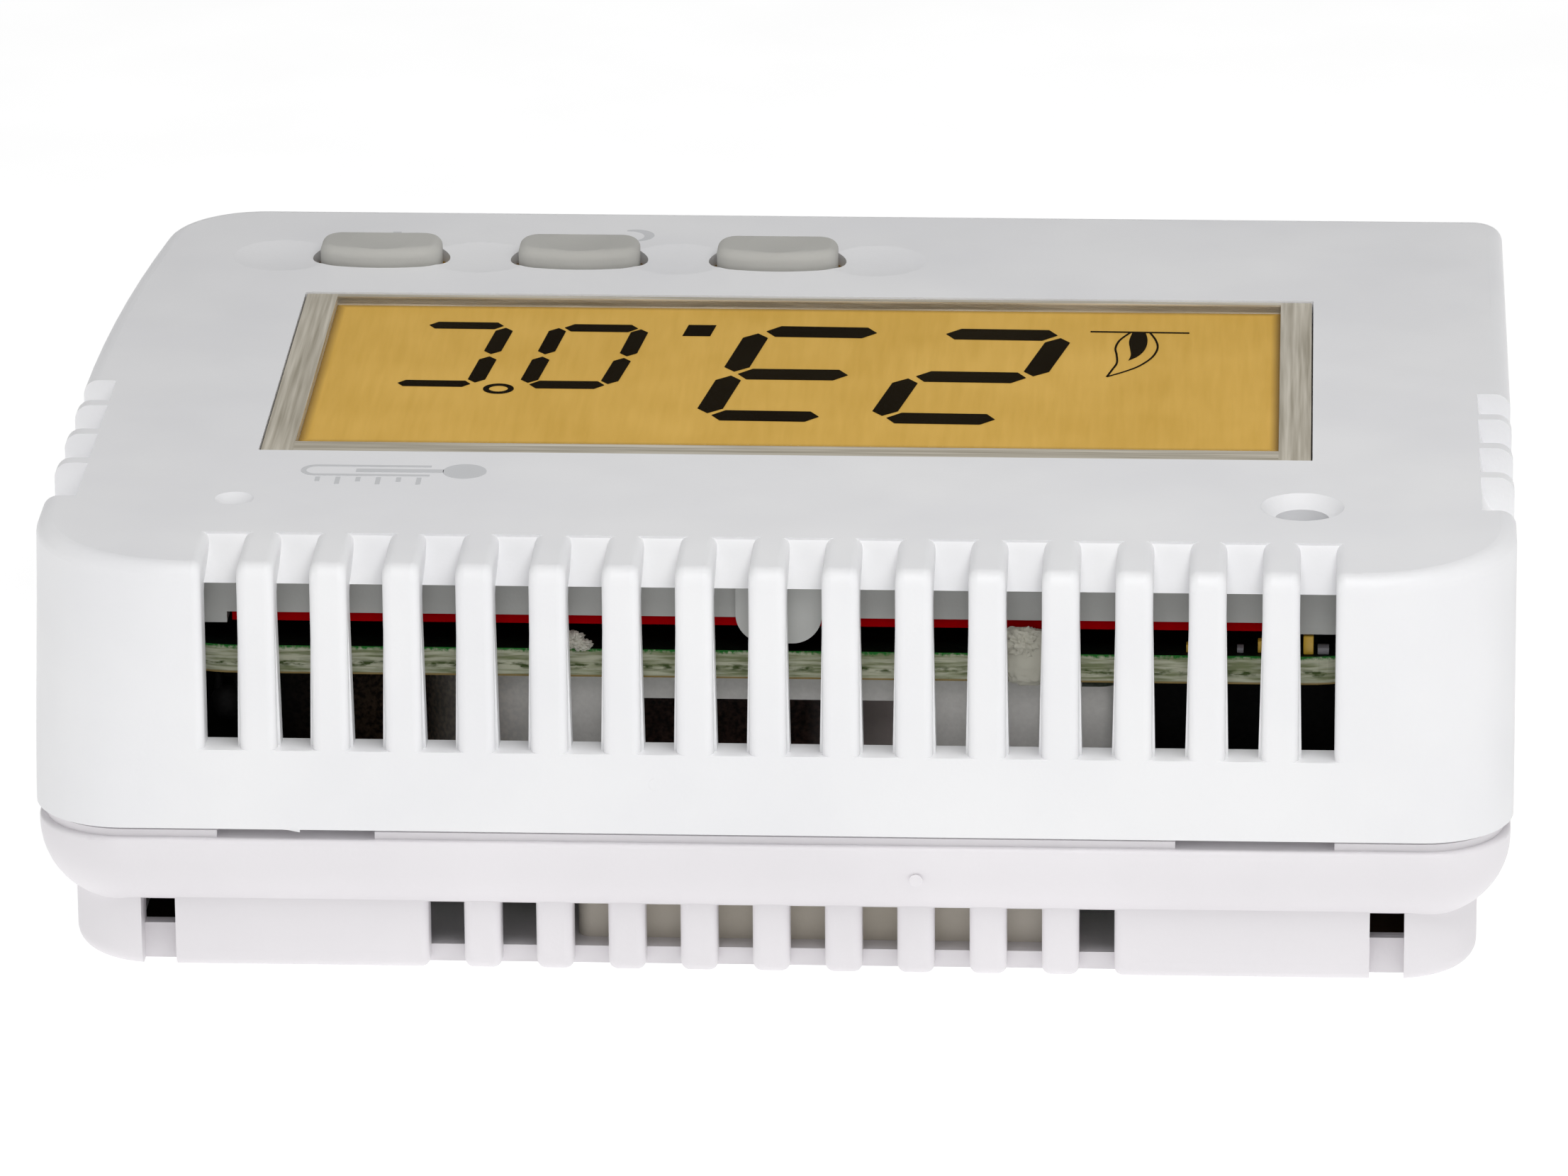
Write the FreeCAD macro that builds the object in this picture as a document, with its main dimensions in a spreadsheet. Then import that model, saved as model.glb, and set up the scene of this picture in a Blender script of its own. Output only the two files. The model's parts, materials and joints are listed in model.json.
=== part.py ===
# Wall thermostat: a wall base with screw terminals and a plug-on front module with a display,
# three push buttons and a locking screw.
# Frame: +Z points out of the wall, +Y is up on the wall, +X is to the right as one faces it.
# The origin is the centre of the rear face. All sizes are in millimetres.

import FreeCAD
import Part
import os
import re

doc = FreeCAD.newDocument("wall_thermostat")

# ---------------------------------------------------------------- driving dimensions

SIZES = {
    "body_width": 90.0,
    "body_height": 70.6,
    "body_depth": 26.9,
    "side_radius": 250.0,
    "side_start": 2.0,
    "corner_top": 9.8,
    "corner_low": 5.6,
    "corner_left": 2.0,
    "corner_right": 6.4,
    "base_corner": 5.6,
    "cover_wall": 2.2,
    "face_wall": 2.0,
    "cover_edge": 1.0,
    "cover_bottom": 10.0,
    "belly_inset": 0.15,
    "belly_top": 9.25,
    "belly_edge": 0.3,
    "belly_bottom": 3.65,
    "belly_round": 5.0,
    "pedestal_inset": 2.1,
    "pedestal_round": 1.2,
    "base_wall": 1.9,
    "base_floor": 1.1,
    "base_vent_top": 4.62,
    "lip_inset": 2.55,
    "lip_top": 11.2,
    "rim_inset": 0.55,
    "rim_top": 9.7,
    "vent_pitch": 4.4,
    "rib_width": 2.25,
    "rib_round": 0.55,
    "rib_flare": 0.18,
    "rib_flare_top": 23.5,
    "vent_sill": 15.1,
    "vent_lintel": 25.05,
    "vent_reach": 6.2,
    "lower_vent_top": 23.3,
    "window_width": 65.0,
    "window_low": -17.4,
    "window_high": 13.8,
    "window_gap": 0.1,
    "window_bevel": 0.15,
    "window_flange": 1.2,
    "frame_side": 2.0,
    "frame_near": 1.9,
    "frame_far": 0.5,
    "frame_top": 26.8,
    "pane_top": 26.85,
    "pane_bottom": 26.3,
    "glass_top": 26.2,
    "glass_bottom": 24.4,
    "holder_low": -20.4,
    "holder_high": 31.4,
    "holder_half": 38.0,
    "holder_bottom": 22.6,
    "holder_foot": 21.9,
    "backlight_left": -31.4,
    "backlight_right": 32.6,
    "backlight_bottom": 22.0,
    "board_top": 20.6,
    "board_bottom": 18.8,
    "board_half": 40.0,
    "board_low": -32.4,
    "board_high": 31.8,
    "button_first": 28.35,
    "button_pitch": 12.98,
    "button_row": -25.05,
    "button_width": 7.9,
    "button_depth": 4.3,
    "button_proud": 1.1,
    "button_end_gap": 0.55,
    "button_side_gap": 0.3,
    "button_bow": 0.85,
    "switch_top": 23.4,
    "plunger_radius": 1.5,
    "plunger_top": 24.1,
    "locking_x": -32.0,
    "locking_y": 22.5,
    "locking_seat": 22.0,
    "locking_top": 24.7,
    "locking_tip": 4.9,
    "locking_head": 1.6,
    "locking_shank": 0.95,
    "grip_low": 0.8,
    "grip_high": 22.8,
    "grip_radius": 3.5,
    "grip_depth": 2.1,
    "grip_pitch": 5.5,
    "grip_rib": 1.0,
    "release_right": 28.7,
    "release_left": -29.35,
    "release_width": 9.6,
    "wall_hole_spacing": 60.0,
    "wall_hole_radius": 2.25,
    "wall_hole_slot": 9.0,
    "cable_width": 26.0,
    "cable_height": 14.0,
    "cable_row": -6.0,
    "terminal_pitch": 5.5,
    "terminal_row": -24.0,
    "contact_pitch": 5.5,
    "contact_row": 26.5,
    "contact_centre": -3.0,
}

sheet = doc.addObject("Spreadsheet::Sheet", "Sizes")
for row, (alias, value) in enumerate(SIZES.items(), start=1):
    sheet.set(f"A{row}", alias)
    sheet.set(f"B{row}", str(value))
    sheet.setAlias(f"B{row}", alias)
doc.recompute()

ALIAS = re.compile(r"\b(" + "|".join(sorted(SIZES, key=len, reverse=True)) + r")\b")


def size(alias):
    """The value that the sheet holds for an alias."""
    return float(sheet.get(alias))


def bind(item, prop, formula):
    """Drive a property of a document object from the sheet."""
    item.setExpression(prop, ALIAS.sub(r"Sizes.\1", str(formula)))


def place(item, x=0, y=0, z=0):
    bind(item, "Placement.Base.x", x)
    bind(item, "Placement.Base.y", y)
    bind(item, "Placement.Base.z", z)


# ---------------------------------------------------------------- building blocks


def box(name, x_span, y_span, z_span):
    """A block between two formulas along each axis."""
    item = doc.addObject("Part::Box", name)
    bind(item, "Length", f"({x_span[1]}) - ({x_span[0]})")
    bind(item, "Width", f"({y_span[1]}) - ({y_span[0]})")
    bind(item, "Height", f"({z_span[1]}) - ({z_span[0]})")
    place(item, x_span[0], y_span[0], z_span[0])
    return item


def post(name, x, y, z_span, radius):
    """A round post or hole along Z."""
    item = doc.addObject("Part::Cylinder", name)
    bind(item, "Radius", radius)
    bind(item, "Height", f"({z_span[1]}) - ({z_span[0]})")
    place(item, x, y, z_span[0])
    return item


def cone(name, x, y, z_span, low_radius, high_radius):
    item = doc.addObject("Part::Cone", name)
    bind(item, "Radius1", low_radius)
    bind(item, "Radius2", high_radius)
    bind(item, "Height", f"({z_span[1]}) - ({z_span[0]})")
    place(item, x, y, z_span[0])
    return item


def ball(name, x, y, z, radius):
    item = doc.addObject("Part::Sphere", name)
    bind(item, "Radius", radius)
    place(item, x, y, z)
    return item


def roller(name, x, y_span, z, radius):
    """A cylinder along Y."""
    item = doc.addObject("Part::Cylinder", name)
    bind(item, "Radius", radius)
    bind(item, "Height", f"({y_span[1]}) - ({y_span[0]})")
    item.Placement = FreeCAD.Placement(
        FreeCAD.Vector(0, 0, 0), FreeCAD.Rotation(FreeCAD.Vector(1, 0, 0), -90)
    )
    place(item, x, y_span[0], z)
    return item


def fuse(name, items):
    item = doc.addObject("Part::MultiFuse", name)
    item.Shapes = items
    return item


def group(name, items):
    """Separate solids kept in one node."""
    item = doc.addObject("Part::Compound", name)
    item.Links = items
    return item


def cut(name, base, tools):
    item = doc.addObject("Part::Cut", name)
    item.Base = base
    item.Tool = tools[0] if len(tools) == 1 else fuse(name + "_tools", tools)
    return item


def common(name, base, tool):
    item = doc.addObject("Part::Common", name)
    item.Base = base
    item.Tool = tool
    return item


def fillet(name, base, wanted):
    """Round the edges of base for which wanted(edge) gives a radius."""
    doc.recompute()
    chosen = []
    for number, edge in enumerate(base.Shape.Edges, start=1):
        radius = wanted(edge)
        if isinstance(radius, tuple):
            chosen.append((number, radius[0], radius[1]))
        elif radius:
            chosen.append((number, radius, radius))
    item = doc.addObject("Part::Fillet", name)
    item.Base = base
    item.Edges = chosen
    return item


def is_upright(edge):
    low, high = edge.BoundBox.ZMin, edge.BoundBox.ZMax
    return abs(edge.Length - (high - low)) < 1e-6 and high - low > 0.1


def lies_at(edge, height):
    return abs(edge.BoundBox.ZMin - height) < 1e-4 and abs(edge.BoundBox.ZMax - height) < 1e-4


def rounded_box(name, x_span, y_span, z_span, radius, top_round=0.0, bottom_round=0.0):
    """A block with round upright edges and, if wanted, a round top or bottom rim."""
    block = box(name + "_block", x_span, y_span, z_span)
    result = fillet(name + "_upright", block, lambda edge: radius if is_upright(edge) else 0)
    doc.recompute()
    top = result.Shape.BoundBox.ZMax
    bottom = result.Shape.BoundBox.ZMin
    if top_round:
        result = fillet(name + "_top", result, lambda edge: top_round * lies_at(edge, top))
    if bottom_round:
        result = fillet(name + "_bottom", result, lambda edge: bottom_round * lies_at(edge, bottom))
    return result


def bowed_block(name, x, half_x, half_y, z_span, radius, top_round=0.0):
    """A button's block or hole: round upright edges, and a side towards the display that bows out."""
    x_span = (f"{x} - ({half_x})", f"{x} + ({half_x})")
    y_span = (f"button_row - ({half_y})", f"button_row + ({half_y})")
    block = box(name + "_block", x_span, y_span, z_span)
    bow_radius = f"((({half_x}) ^ 2 + button_bow ^ 2) / (2 * button_bow))"
    bow = post(name + "_bow", x, f"button_row + ({half_y}) - {bow_radius}", z_span, bow_radius)
    bowed = common(name + "_bowed", block, bow)
    result = fillet(name + "_upright", bowed, lambda edge: radius if is_upright(edge) else 0)
    if top_round:
        doc.recompute()
        top = max(vertex.Z for vertex in result.Shape.Vertexes)
        result = fillet(name + "_top", result, lambda edge: top_round * lies_at(edge, top))
    return result


def outline_block(name, inset, z_span, corners, top_low=None):
    """A block with the thermostat's outline, set in by inset.

    The right side is straight down to side_start and then sweeps in along a large arc.
    corners gives the radii of the top, lower left and lower right corners before the inset.
    With top_low the top corners widen from that radius at the bottom to corners[0] at the top.
    """
    half_x = f"body_width / 2 - {inset}"
    half_y = f"body_height / 2 - {inset}"
    block = box(name + "_block", (f"-({half_x})", half_x), (f"-({half_y})", half_y), z_span)
    slab = box(
        name + "_slab",
        ("body_width / 2 - 8", "body_width / 2 + 1"),
        ("-body_height / 2 - 1", "side_start"),
        (f"{z_span[0]} - 1", f"{z_span[1]} + 1"),
    )
    sweep = post(
        name + "_sweep",
        "body_width / 2 - side_radius",
        "side_start",
        (f"{z_span[0]} - 2", f"{z_span[1]} + 2"),
        f"side_radius - {inset}",
    )
    outside = cut(name + "_outside", slab, [sweep])
    swept = cut(name + "_swept", block, [outside])
    top, low_left, low_right = corners
    smallest = 0.6
    doc.recompute()
    shrink = swept.Shape.BoundBox.XMin + size("body_width") / 2
    limit_x = swept.Shape.BoundBox.XMax - 5
    limit_y = swept.Shape.BoundBox.YMax - 5

    def corner_radius(edge):
        if not is_upright(edge) or abs(edge.CenterOfMass.y) < limit_y:
            return 0
        if edge.CenterOfMass.y > 0 and top_low:
            return (top_low, top)
        if edge.CenterOfMass.y > 0:
            return max(top - shrink, smallest)
        if edge.CenterOfMass.x < -limit_x:
            return max(low_left - shrink, smallest)
        return max(low_right - shrink, smallest)

    return fillet(name, swept, corner_radius)


def side_profile(name, points, arcs):
    """A closed sketch in the YZ plane; arcs maps a point's index to the arc's middle point.

    The arc runs from that point to the next one.
    """
    sketch = doc.addObject("Sketcher::SketchObject", name)
    sketch.Placement = FreeCAD.Placement(
        FreeCAD.Vector(0, 0, 0), FreeCAD.Rotation(0.5, 0.5, 0.5, 0.5)
    )
    count = len(points)
    for index, start in enumerate(points):
        end = points[(index + 1) % count]
        first = FreeCAD.Vector(start[0], start[1], 0)
        last = FreeCAD.Vector(end[0], end[1], 0)
        if index in arcs:
            middle = FreeCAD.Vector(arcs[index][0], arcs[index][1], 0)
            sketch.addGeometry(Part.Arc(first, middle, last), False)
        else:
            sketch.addGeometry(Part.LineSegment(first, last), False)
    return sketch


def extrude_x(name, sketch, width, x):
    """Extrude a YZ sketch by width, centred on x."""
    item = doc.addObject("Part::Extrusion", name)
    item.Base = sketch
    item.DirMode = "Custom"
    item.Dir = FreeCAD.Vector(1, 0, 0)
    item.Solid = True
    item.Symmetric = True
    bind(item, "LengthFwd", width)
    bind(item, "Placement.Base.x", x)
    return item


def round_rib(name, rib, is_outer, sides=(-1, 1)):
    """Round the long outer edges of a rib on the given sides."""
    doc.recompute()
    centre = rib.Shape.BoundBox.Center.x
    half = rib.Shape.BoundBox.XLength / 2

    def wanted(edge):
        offset = edge.BoundBox.Center.x - centre
        on_side = any(abs(offset - side * half) < 1e-4 for side in sides)
        return size("rib_round") if on_side and is_outer(edge) else 0

    return fillet(name, rib, wanted)


def finish(item, label, members):
    item.Label = label
    members.append(item)
    return item


nodes = []

# ---------------------------------------------------------------- derived places

half_height = size("body_height") / 2
depth = size("body_depth")
pedestal_face = half_height - size("pedestal_inset")
vent_count = 16
lower_vent_count = 14
base_vent_count = 10
side_vent_step = 8.5
cover_corners = (size("corner_top"), size("corner_left"), size("corner_right"))
base_corners = (size("corner_low"), size("base_corner"), size("corner_right"))
pedestal_corners = (size("corner_low") + 1.6, size("base_corner"), size("corner_right"))
button_names = ("up", "down", "mode")
button_places = [f"button_first - {index} * button_pitch" for index in range(3)]
contact_places = [f"contact_centre + ({index} - 2) * contact_pitch" for index in range(5)]
terminal_places = [f"({index} - 2) * terminal_pitch" for index in range(5)]

# ---------------------------------------------------------------- front cover


def vent_ribs():
    """Ribs of the top vents: they follow the front wall, its round edge and the face."""
    edge = size("cover_edge")
    wall_in = half_height - size("cover_wall")
    foot = size("vent_sill") - 0.5
    corner = 2 ** -0.5
    face_end = half_height - size("vent_reach") - 0.6
    underside = depth - size("face_wall")
    points = [
        (half_height, foot),
        (half_height, depth - edge),
        (half_height - edge, depth),
        (face_end, depth),
        (face_end, underside + 0.5),
        (wall_in - 0.6, underside + 0.2),
        (wall_in, underside - 0.4),
        (wall_in, foot),
    ]
    middle = (half_height - edge + edge * corner, depth - edge + edge * corner)
    sketch = side_profile("rib_profile", points, {1: middle})

    def is_outer(piece):
        y, z = piece.CenterOfMass.y, piece.CenterOfMass.z
        return y > half_height - 0.5 or z > depth - 0.5

    ribs = []
    for step in range(1, vent_count):
        rib = extrude_x(f"rib_{step}_plain", sketch, "rib_width", f"({step} - 8) * vent_pitch")
        ribs.append(round_rib(f"rib_{step}", rib, is_outer))
        ribs.append(rib_flare(f"rib_flare_{step}", f"({step} - 8) * vent_pitch"))
    flank_width = size("rib_width") / 2
    for side in (-1, 1):
        place_x = f"{side} * (8 * vent_pitch - rib_width / 4)"
        flank = extrude_x(f"flank_{side + 1}_plain", sketch, flank_width, place_x)
        ribs.append(round_rib(f"flank_{side + 1}", flank, is_outer, sides=(-side,)))
    return ribs


def rib_flare(name, x):
    """A wedge in a rib's inner half that makes the slot narrower towards the sill."""
    item = doc.addObject("Part::Wedge", name)
    bind(item, "Xmin", "-rib_width / 2 - rib_flare")
    bind(item, "Xmax", "rib_width / 2 + rib_flare")
    bind(item, "X2min", "-rib_width / 2")
    bind(item, "X2max", "rib_width / 2")
    bind(item, "Ymin", "vent_sill - 0.5")
    bind(item, "Ymax", "rib_flare_top")
    for low_end, high_end in (("Zmin", "Zmax"), ("Z2min", "Z2max")):
        bind(item, low_end, "-body_height / 2 + 0.8")
        bind(item, high_end, "-body_height / 2 + cover_wall")
    item.Placement = FreeCAD.Placement(
        FreeCAD.Vector(0, 0, 0), FreeCAD.Rotation(FreeCAD.Vector(1, 0, 0), 90)
    )
    place(item, x)
    return item


def vent_band():
    """The opening behind all the ribs, with a cove that runs up into the face."""
    wall_in = half_height - size("cover_wall")
    reach = half_height - size("vent_reach")
    lintel = size("vent_lintel")
    outside = half_height + 2
    points = [
        (outside, size("vent_sill")),
        (outside, depth + 1),
        (reach, depth + 1),
        (reach, depth - 0.15),
        (wall_in, lintel),
        (wall_in - 0.8, lintel - 0.3),
        (wall_in - 0.8, size("vent_sill")),
    ]
    middle = ((reach + wall_in) / 2 - 0.35, (depth + lintel) / 2 - 0.3)
    sketch = side_profile("band_profile", points, {3: middle})
    return extrude_x("vent_band", sketch, "16 * vent_pitch", 0)


def lower_vents():
    """Plain slots in the lower wall."""
    slots = []
    for step in range(lower_vent_count):
        centre = f"({step} - {(lower_vent_count - 1) / 2}) * vent_pitch"
        half = "(vent_pitch - rib_width) / 2"
        slots.append(
            box(
                f"lower_vent_{step}",
                (f"{centre} - {half}", f"{centre} + {half}"),
                ("-body_height / 2 - 1", "-body_height / 2 + cover_wall + 0.2"),
                ("vent_sill", "lower_vent_top"),
            )
        )
    return slots


def grip_notches():
    """Scoops between the three grip ribs on each long side."""
    scoops = []
    middle = "(grip_low + grip_high) / 2 - 1.1"
    starts = [
        "grip_low",
        f"{middle} - grip_pitch + grip_rib / 2",
        f"{middle} + grip_rib / 2",
        f"{middle} + grip_pitch + grip_rib / 2",
    ]
    ends = [
        f"{middle} - grip_pitch - grip_rib / 2",
        f"{middle} - grip_rib / 2",
        f"{middle} + grip_pitch - grip_rib / 2",
        "grip_high",
    ]
    for side in (-1, 1):
        for step in range(4):
            scoops.append(
                roller(
                    f"grip_{side + 1}_{step}",
                    f"{side} * (body_width / 2 - grip_depth + grip_radius)",
                    (starts[step], ends[step]),
                    "body_depth",
                    "grip_radius",
                )
            )
    return scoops


def button_holes():
    """Three openings with round ends, and the shallow finger dips beside them."""
    holes = []
    half_x = "button_width / 2 + button_end_gap"
    half_y = "button_depth / 2 + button_side_gap"
    span = ("body_depth - face_wall - 1", "body_depth + 1")
    for index, centre in enumerate(button_places):
        holes.append(bowed_block(f"button_hole_{index}", centre, half_x, half_y, span, 2.3))
    dip_radius = 22
    dip_depth = 0.24
    for index in range(4):
        centre = f"button_first + button_pitch / 2 - {index} * button_pitch"
        height = f"body_depth + {dip_radius - dip_depth}"
        holes.append(ball(f"dip_{index}", centre, "button_row", height, dip_radius))
    return holes


def front_cover():
    blank = outline_block(
        "cover_blank", "0", ("cover_bottom", "body_depth"), cover_corners, size("corner_low")
    )
    edge = size("cover_edge")
    rounded = fillet("cover_rounded", blank, lambda item: edge * lies_at(item, depth))
    hollow = outline_block(
        "cover_hollow",
        "cover_wall",
        ("cover_bottom - 1", "body_depth - face_wall"),
        cover_corners,
    )
    shell = cut("cover_shell", rounded, [hollow])

    opening = box(
        "window_opening",
        ("-window_width / 2 - window_gap", "window_width / 2 + window_gap"),
        ("window_low - window_gap", "window_high + window_gap"),
        ("body_depth - face_wall - 1", "body_depth + 1"),
    )
    screw_span = ("body_depth - face_wall - 1", "body_depth + 1")
    screw_hole = post("screw_hole", "locking_x", "locking_y", screw_span, "locking_head + 0.05")
    bowl_radius = 3.3
    bowl_depth = 1.2
    bowl_height = f"body_depth + {bowl_radius - bowl_depth}"
    screw_bowl = ball("screw_bowl", "locking_x", "locking_y", bowl_height, bowl_radius)
    dimple = ball("dimple", 33.2, 23.0, "body_depth + 1.6", 2.0)
    tools = [opening, screw_hole, screw_bowl, dimple, vent_band()]
    tools += lower_vents() + grip_notches() + button_holes()
    opened = cut("cover_opened", shell, tools)

    boss_span = ("board_top + 0.1", "body_depth - face_wall + 0.2")
    boss = post("screw_boss", "locking_x", "locking_y", boss_span, 3.0)
    seat_span = ("locking_seat", "body_depth")
    boss_bore = post("boss_bore", "locking_x", "locking_y", seat_span, "locking_head + 0.05")
    boss_exit = post("boss_exit", "locking_x", "locking_y", ("10", "body_depth"), "locking_shank + 0.07")
    boss_ring = cut("screw_boss_ring", boss, [boss_bore, boss_exit])
    return fuse("front_cover", [opened, boss_ring] + vent_ribs() + board_posts())


def board_posts():
    """Three posts under the face that the board is screwed to."""
    posts = []
    for index, (x, y) in enumerate(BOARD_SCREW_PLACES):
        outer = post(f"board_post_{index}", x, y, ("board_top", "body_depth - face_wall"), 2.4)
        bore_span = ("board_top - 1", "body_depth - face_wall - 0.6")
        bore = post(f"board_post_bore_{index}", x, y, bore_span, 1.0)
        posts.append(cut(f"board_post_ring_{index}", outer, [bore]))
    return posts


BOARD_SCREW_PLACES = ((-36.2, -28.0), (-12.0, -28.5), (36.0, 14.0))

finish(front_cover(), "front_cover", nodes)

# ---------------------------------------------------------------- display stack


PANE_X = ("-window_width / 2 + frame_side", "window_width / 2 - frame_side")
PANE_Y = ("window_low + frame_far", "window_high - frame_near")


def display_window():
    """Clear pane with a bevelled rim, inside the frame."""
    pane = box("window_pane", PANE_X, PANE_Y, ("pane_bottom", "pane_top"))
    doc.recompute()
    bevel = doc.addObject("Part::Chamfer", "display_window")
    bevel.Base = pane
    top = pane.Shape.BoundBox.ZMax
    rim = [number for number, edge in enumerate(pane.Shape.Edges, start=1) if lies_at(edge, top)]
    bevel.Edges = [(number, size("window_bevel"), size("window_bevel")) for number in rim]
    return bevel


finish(display_window(), "display_window", nodes)


def display_bezel():
    """Frame round the pane and the glass, just under the face, with a flange behind it."""
    ring = box(
        "bezel_ring",
        ("-window_width / 2", "window_width / 2"),
        ("window_low", "window_high"),
        ("glass_bottom", "frame_top"),
    )
    flange = box(
        "bezel_flange",
        ("-window_width / 2 - window_flange", "window_width / 2 + window_flange"),
        ("window_low - window_flange", "window_high + window_flange"),
        ("glass_bottom - 0.6", "body_depth - face_wall"),
    )
    room = box("bezel_room", PANE_X, PANE_Y, (20, "body_depth + 1"))
    return cut("display_bezel", fuse("bezel_solid", [ring, flange]), [room])


finish(display_bezel(), "display_bezel", nodes)

display_glass = box("display_glass", PANE_X, PANE_Y, ("glass_bottom", "glass_top"))
finish(display_glass, "display_glass", nodes)


def holder_tab():
    """The holder's tongue behind the middle vents, in front of the boards' edges."""
    low_end = 21.2
    blade = box("tab_blade", (-3.15, 2.05), (31.5, 32.1), (low_end, "body_depth - face_wall"))

    def wanted(edge):
        along_y = edge.BoundBox.YLength > 0.5
        return 1.8 if along_y and abs(edge.BoundBox.Center.z - low_end) < 0.1 else 0

    rounded = fillet("tab_rounded", blade, wanted)
    root_z = ("holder_bottom + 0.1", "body_depth - face_wall")
    root = box("tab_root", (-3.15, 2.05), ("holder_high - 0.3", 31.6), root_z)
    return fuse("holder_tab", [rounded, root])


def display_holder():
    """Grey carrier plate round the display, up to the front wall, with a foot at each end and a tab."""
    plate = box(
        "holder_plate",
        ("-holder_half", "holder_half"),
        ("holder_low", "holder_high"),
        ("holder_bottom", "body_depth - face_wall"),
    )
    seat = box(
        "holder_seat",
        ("-window_width / 2 - window_flange - 0.1", "window_width / 2 + window_flange + 0.1"),
        ("window_low - window_flange - 0.1", "window_high + window_flange + 0.1"),
        ("holder_bottom - 1", "body_depth"),
    )
    boss_room = post("holder_boss_room", "locking_x", "locking_y", ("20", "26"), 3.3)
    post_room = post("holder_post_room", 36.0, 14.0, ("20", "26"), 2.7)
    foot_z = ("holder_foot", "holder_bottom + 0.2")
    foot_y = ("holder_high - 3", "holder_high")
    foot_a = box("holder_foot_left", ("-holder_half + 2.5", "backlight_left - 0.3"), foot_y, foot_z)
    foot_b = box("holder_foot_right", ("backlight_right + 0.3", "holder_half - 2.5"), foot_y, foot_z)
    opened = cut("holder_opened", plate, [seat, boss_room, post_room])
    return fuse("display_holder", [opened, foot_a, foot_b, holder_tab()])


finish(display_holder(), "display_holder", nodes)

backlight_blank = box(
    "backlight_blank",
    ("backlight_left", "backlight_right"),
    ("holder_low", "holder_high - 0.2"),
    ("backlight_bottom", "holder_bottom"),
)
backlight_boss_room = post("backlight_boss_room", "locking_x", "locking_y", ("20", "24"), 3.3)
strip_room = box("strip_room", (-30.2, 30.2), ("window_low + 0.7", "window_low + 2.7"), (20, 24))
backlight_board = cut("backlight_board", backlight_blank, [backlight_boss_room, strip_room])
finish(backlight_board, "backlight_board", nodes)

elastomer_strip = box(
    "elastomer_strip",
    (-30, 30),
    ("window_low + 0.9", "window_low + 2.5"),
    ("board_top", "glass_bottom"),
)
finish(elastomer_strip, "elastomer_strip", nodes)

spacers = []
for side in (-1, 1):
    x_span = (f"{side} * 24 - 6", f"{side} * 24 + 6")
    spacers.append(box(f"light_spacer_{side + 1}", x_span, (-11, 9), ("board_top", "backlight_bottom")))
finish(group("light_spacers", spacers), "light_spacers", nodes)

# ---------------------------------------------------------------- boards and components


def main_board():
    plate = rounded_box(
        "board_plate",
        ("-board_half", "board_half"),
        ("board_low", "board_high"),
        ("board_bottom", "board_top"),
        7.8,
    )
    boss_room = post("board_boss_room", "locking_x", "locking_y", ("18", "21"), "locking_shank + 0.4")
    tools = [boss_room]
    for index, (x, y) in enumerate(BOARD_SCREW_PLACES):
        tools.append(post(f"board_hole_{index}", x, y, ("18", "21"), 1.2))
    for index, centre in enumerate(contact_places):
        tools.append(post(f"board_pin_hole_{index}", centre, "contact_row", ("18", "21"), 0.5))
    return cut("main_board", plate, tools)


finish(main_board(), "main_board", nodes)


def screw(name, x, y, under_head, length, head_radius, shank_radius, upward):
    """A small pan-head screw with a cross slot; upward screws have the head below."""
    way = 1 if upward else -1
    head_height = 1.1
    slot_depth = 0.5
    head_low, head_high = sorted((under_head, under_head - way * head_height))
    shank_low, shank_high = sorted((under_head, under_head + way * length))
    head = post(name + "_head", x, y, (head_low, head_high), head_radius)
    shank = post(name + "_shank", x, y, (shank_low, shank_high), shank_radius)
    end = under_head - way * head_height
    slot_low, slot_high = sorted((end - way * 0.1, end + way * slot_depth))
    reach = f"{head_radius} * 0.68"
    wide_x, wide_y = [(f"{c} - {reach}", f"{c} + {reach}") for c in (x, y)]
    slim_x, slim_y = [(f"{c} - 0.22", f"{c} + 0.22") for c in (x, y)]
    bars = [
        box(name + "_slot_a", wide_x, slim_y, (slot_low, slot_high)),
        box(name + "_slot_b", slim_x, wide_y, (slot_low, slot_high)),
    ]
    return cut(name, fuse(name + "_body", [head, shank]), bars)


board_screws = group(
    "board_screws",
    [
        screw(f"board_screw_{index}", x, y, size("board_bottom"), 5.0, 1.9, 1.0, True)
        for index, (x, y) in enumerate(BOARD_SCREW_PLACES)
    ],
)
finish(board_screws, "board_screws", nodes)


def microcontroller():
    """A flat chip with leads along two sides."""
    chip = box("chip", (-9, -2), (2, 9), ("board_bottom - 1.4", "board_bottom - 0.1"))
    leads = []
    for side in (-1, 1):
        for step in range(8):
            x = -8.15 + 0.8 * step
            inner = 5.5 + side * 3.3
            outer = 5.5 + side * 4.5
            low, high = sorted((inner, outer))
            height = ("board_bottom - 0.45", "board_bottom")
            leads.append(box(f"lead_{side + 1}_{step}", (x, x + 0.4), (low, high), height))
    return fuse("microcontroller", [chip] + leads)


finish(microcontroller(), "microcontroller", nodes)

relay_span = (11.8, "board_bottom")
relay = rounded_box("relay_case", (18, 34), (-12, 8), relay_span, 0.8, bottom_round=0.5)
finish(relay, "relay", nodes)


def capacitor(name, x, y, radius):
    """A can with a rounded rim, hanging under the board."""
    can = post(name + "_can", x, y, (12.4, "board_bottom"), radius)
    return fillet(name, can, lambda edge: 0.5 * lies_at(edge, 12.4))


cans = [capacitor("capacitor_a", -22, -8, 3.2), capacitor("capacitor_b", -22, 2, 3.2)]
finish(group("capacitors", cans), "capacitors", nodes)

transformer_core = box("transformer_core", (-38, -28), (-14, 2), (12.2, "board_bottom"))
transformer_coil = rounded_box("transformer_coil", (-36.5, -29.5), (-16, 4), (12.9, "board_bottom"), 1.5)
finish(fuse("transformer", [transformer_core, transformer_coil]), "transformer", nodes)


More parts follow.
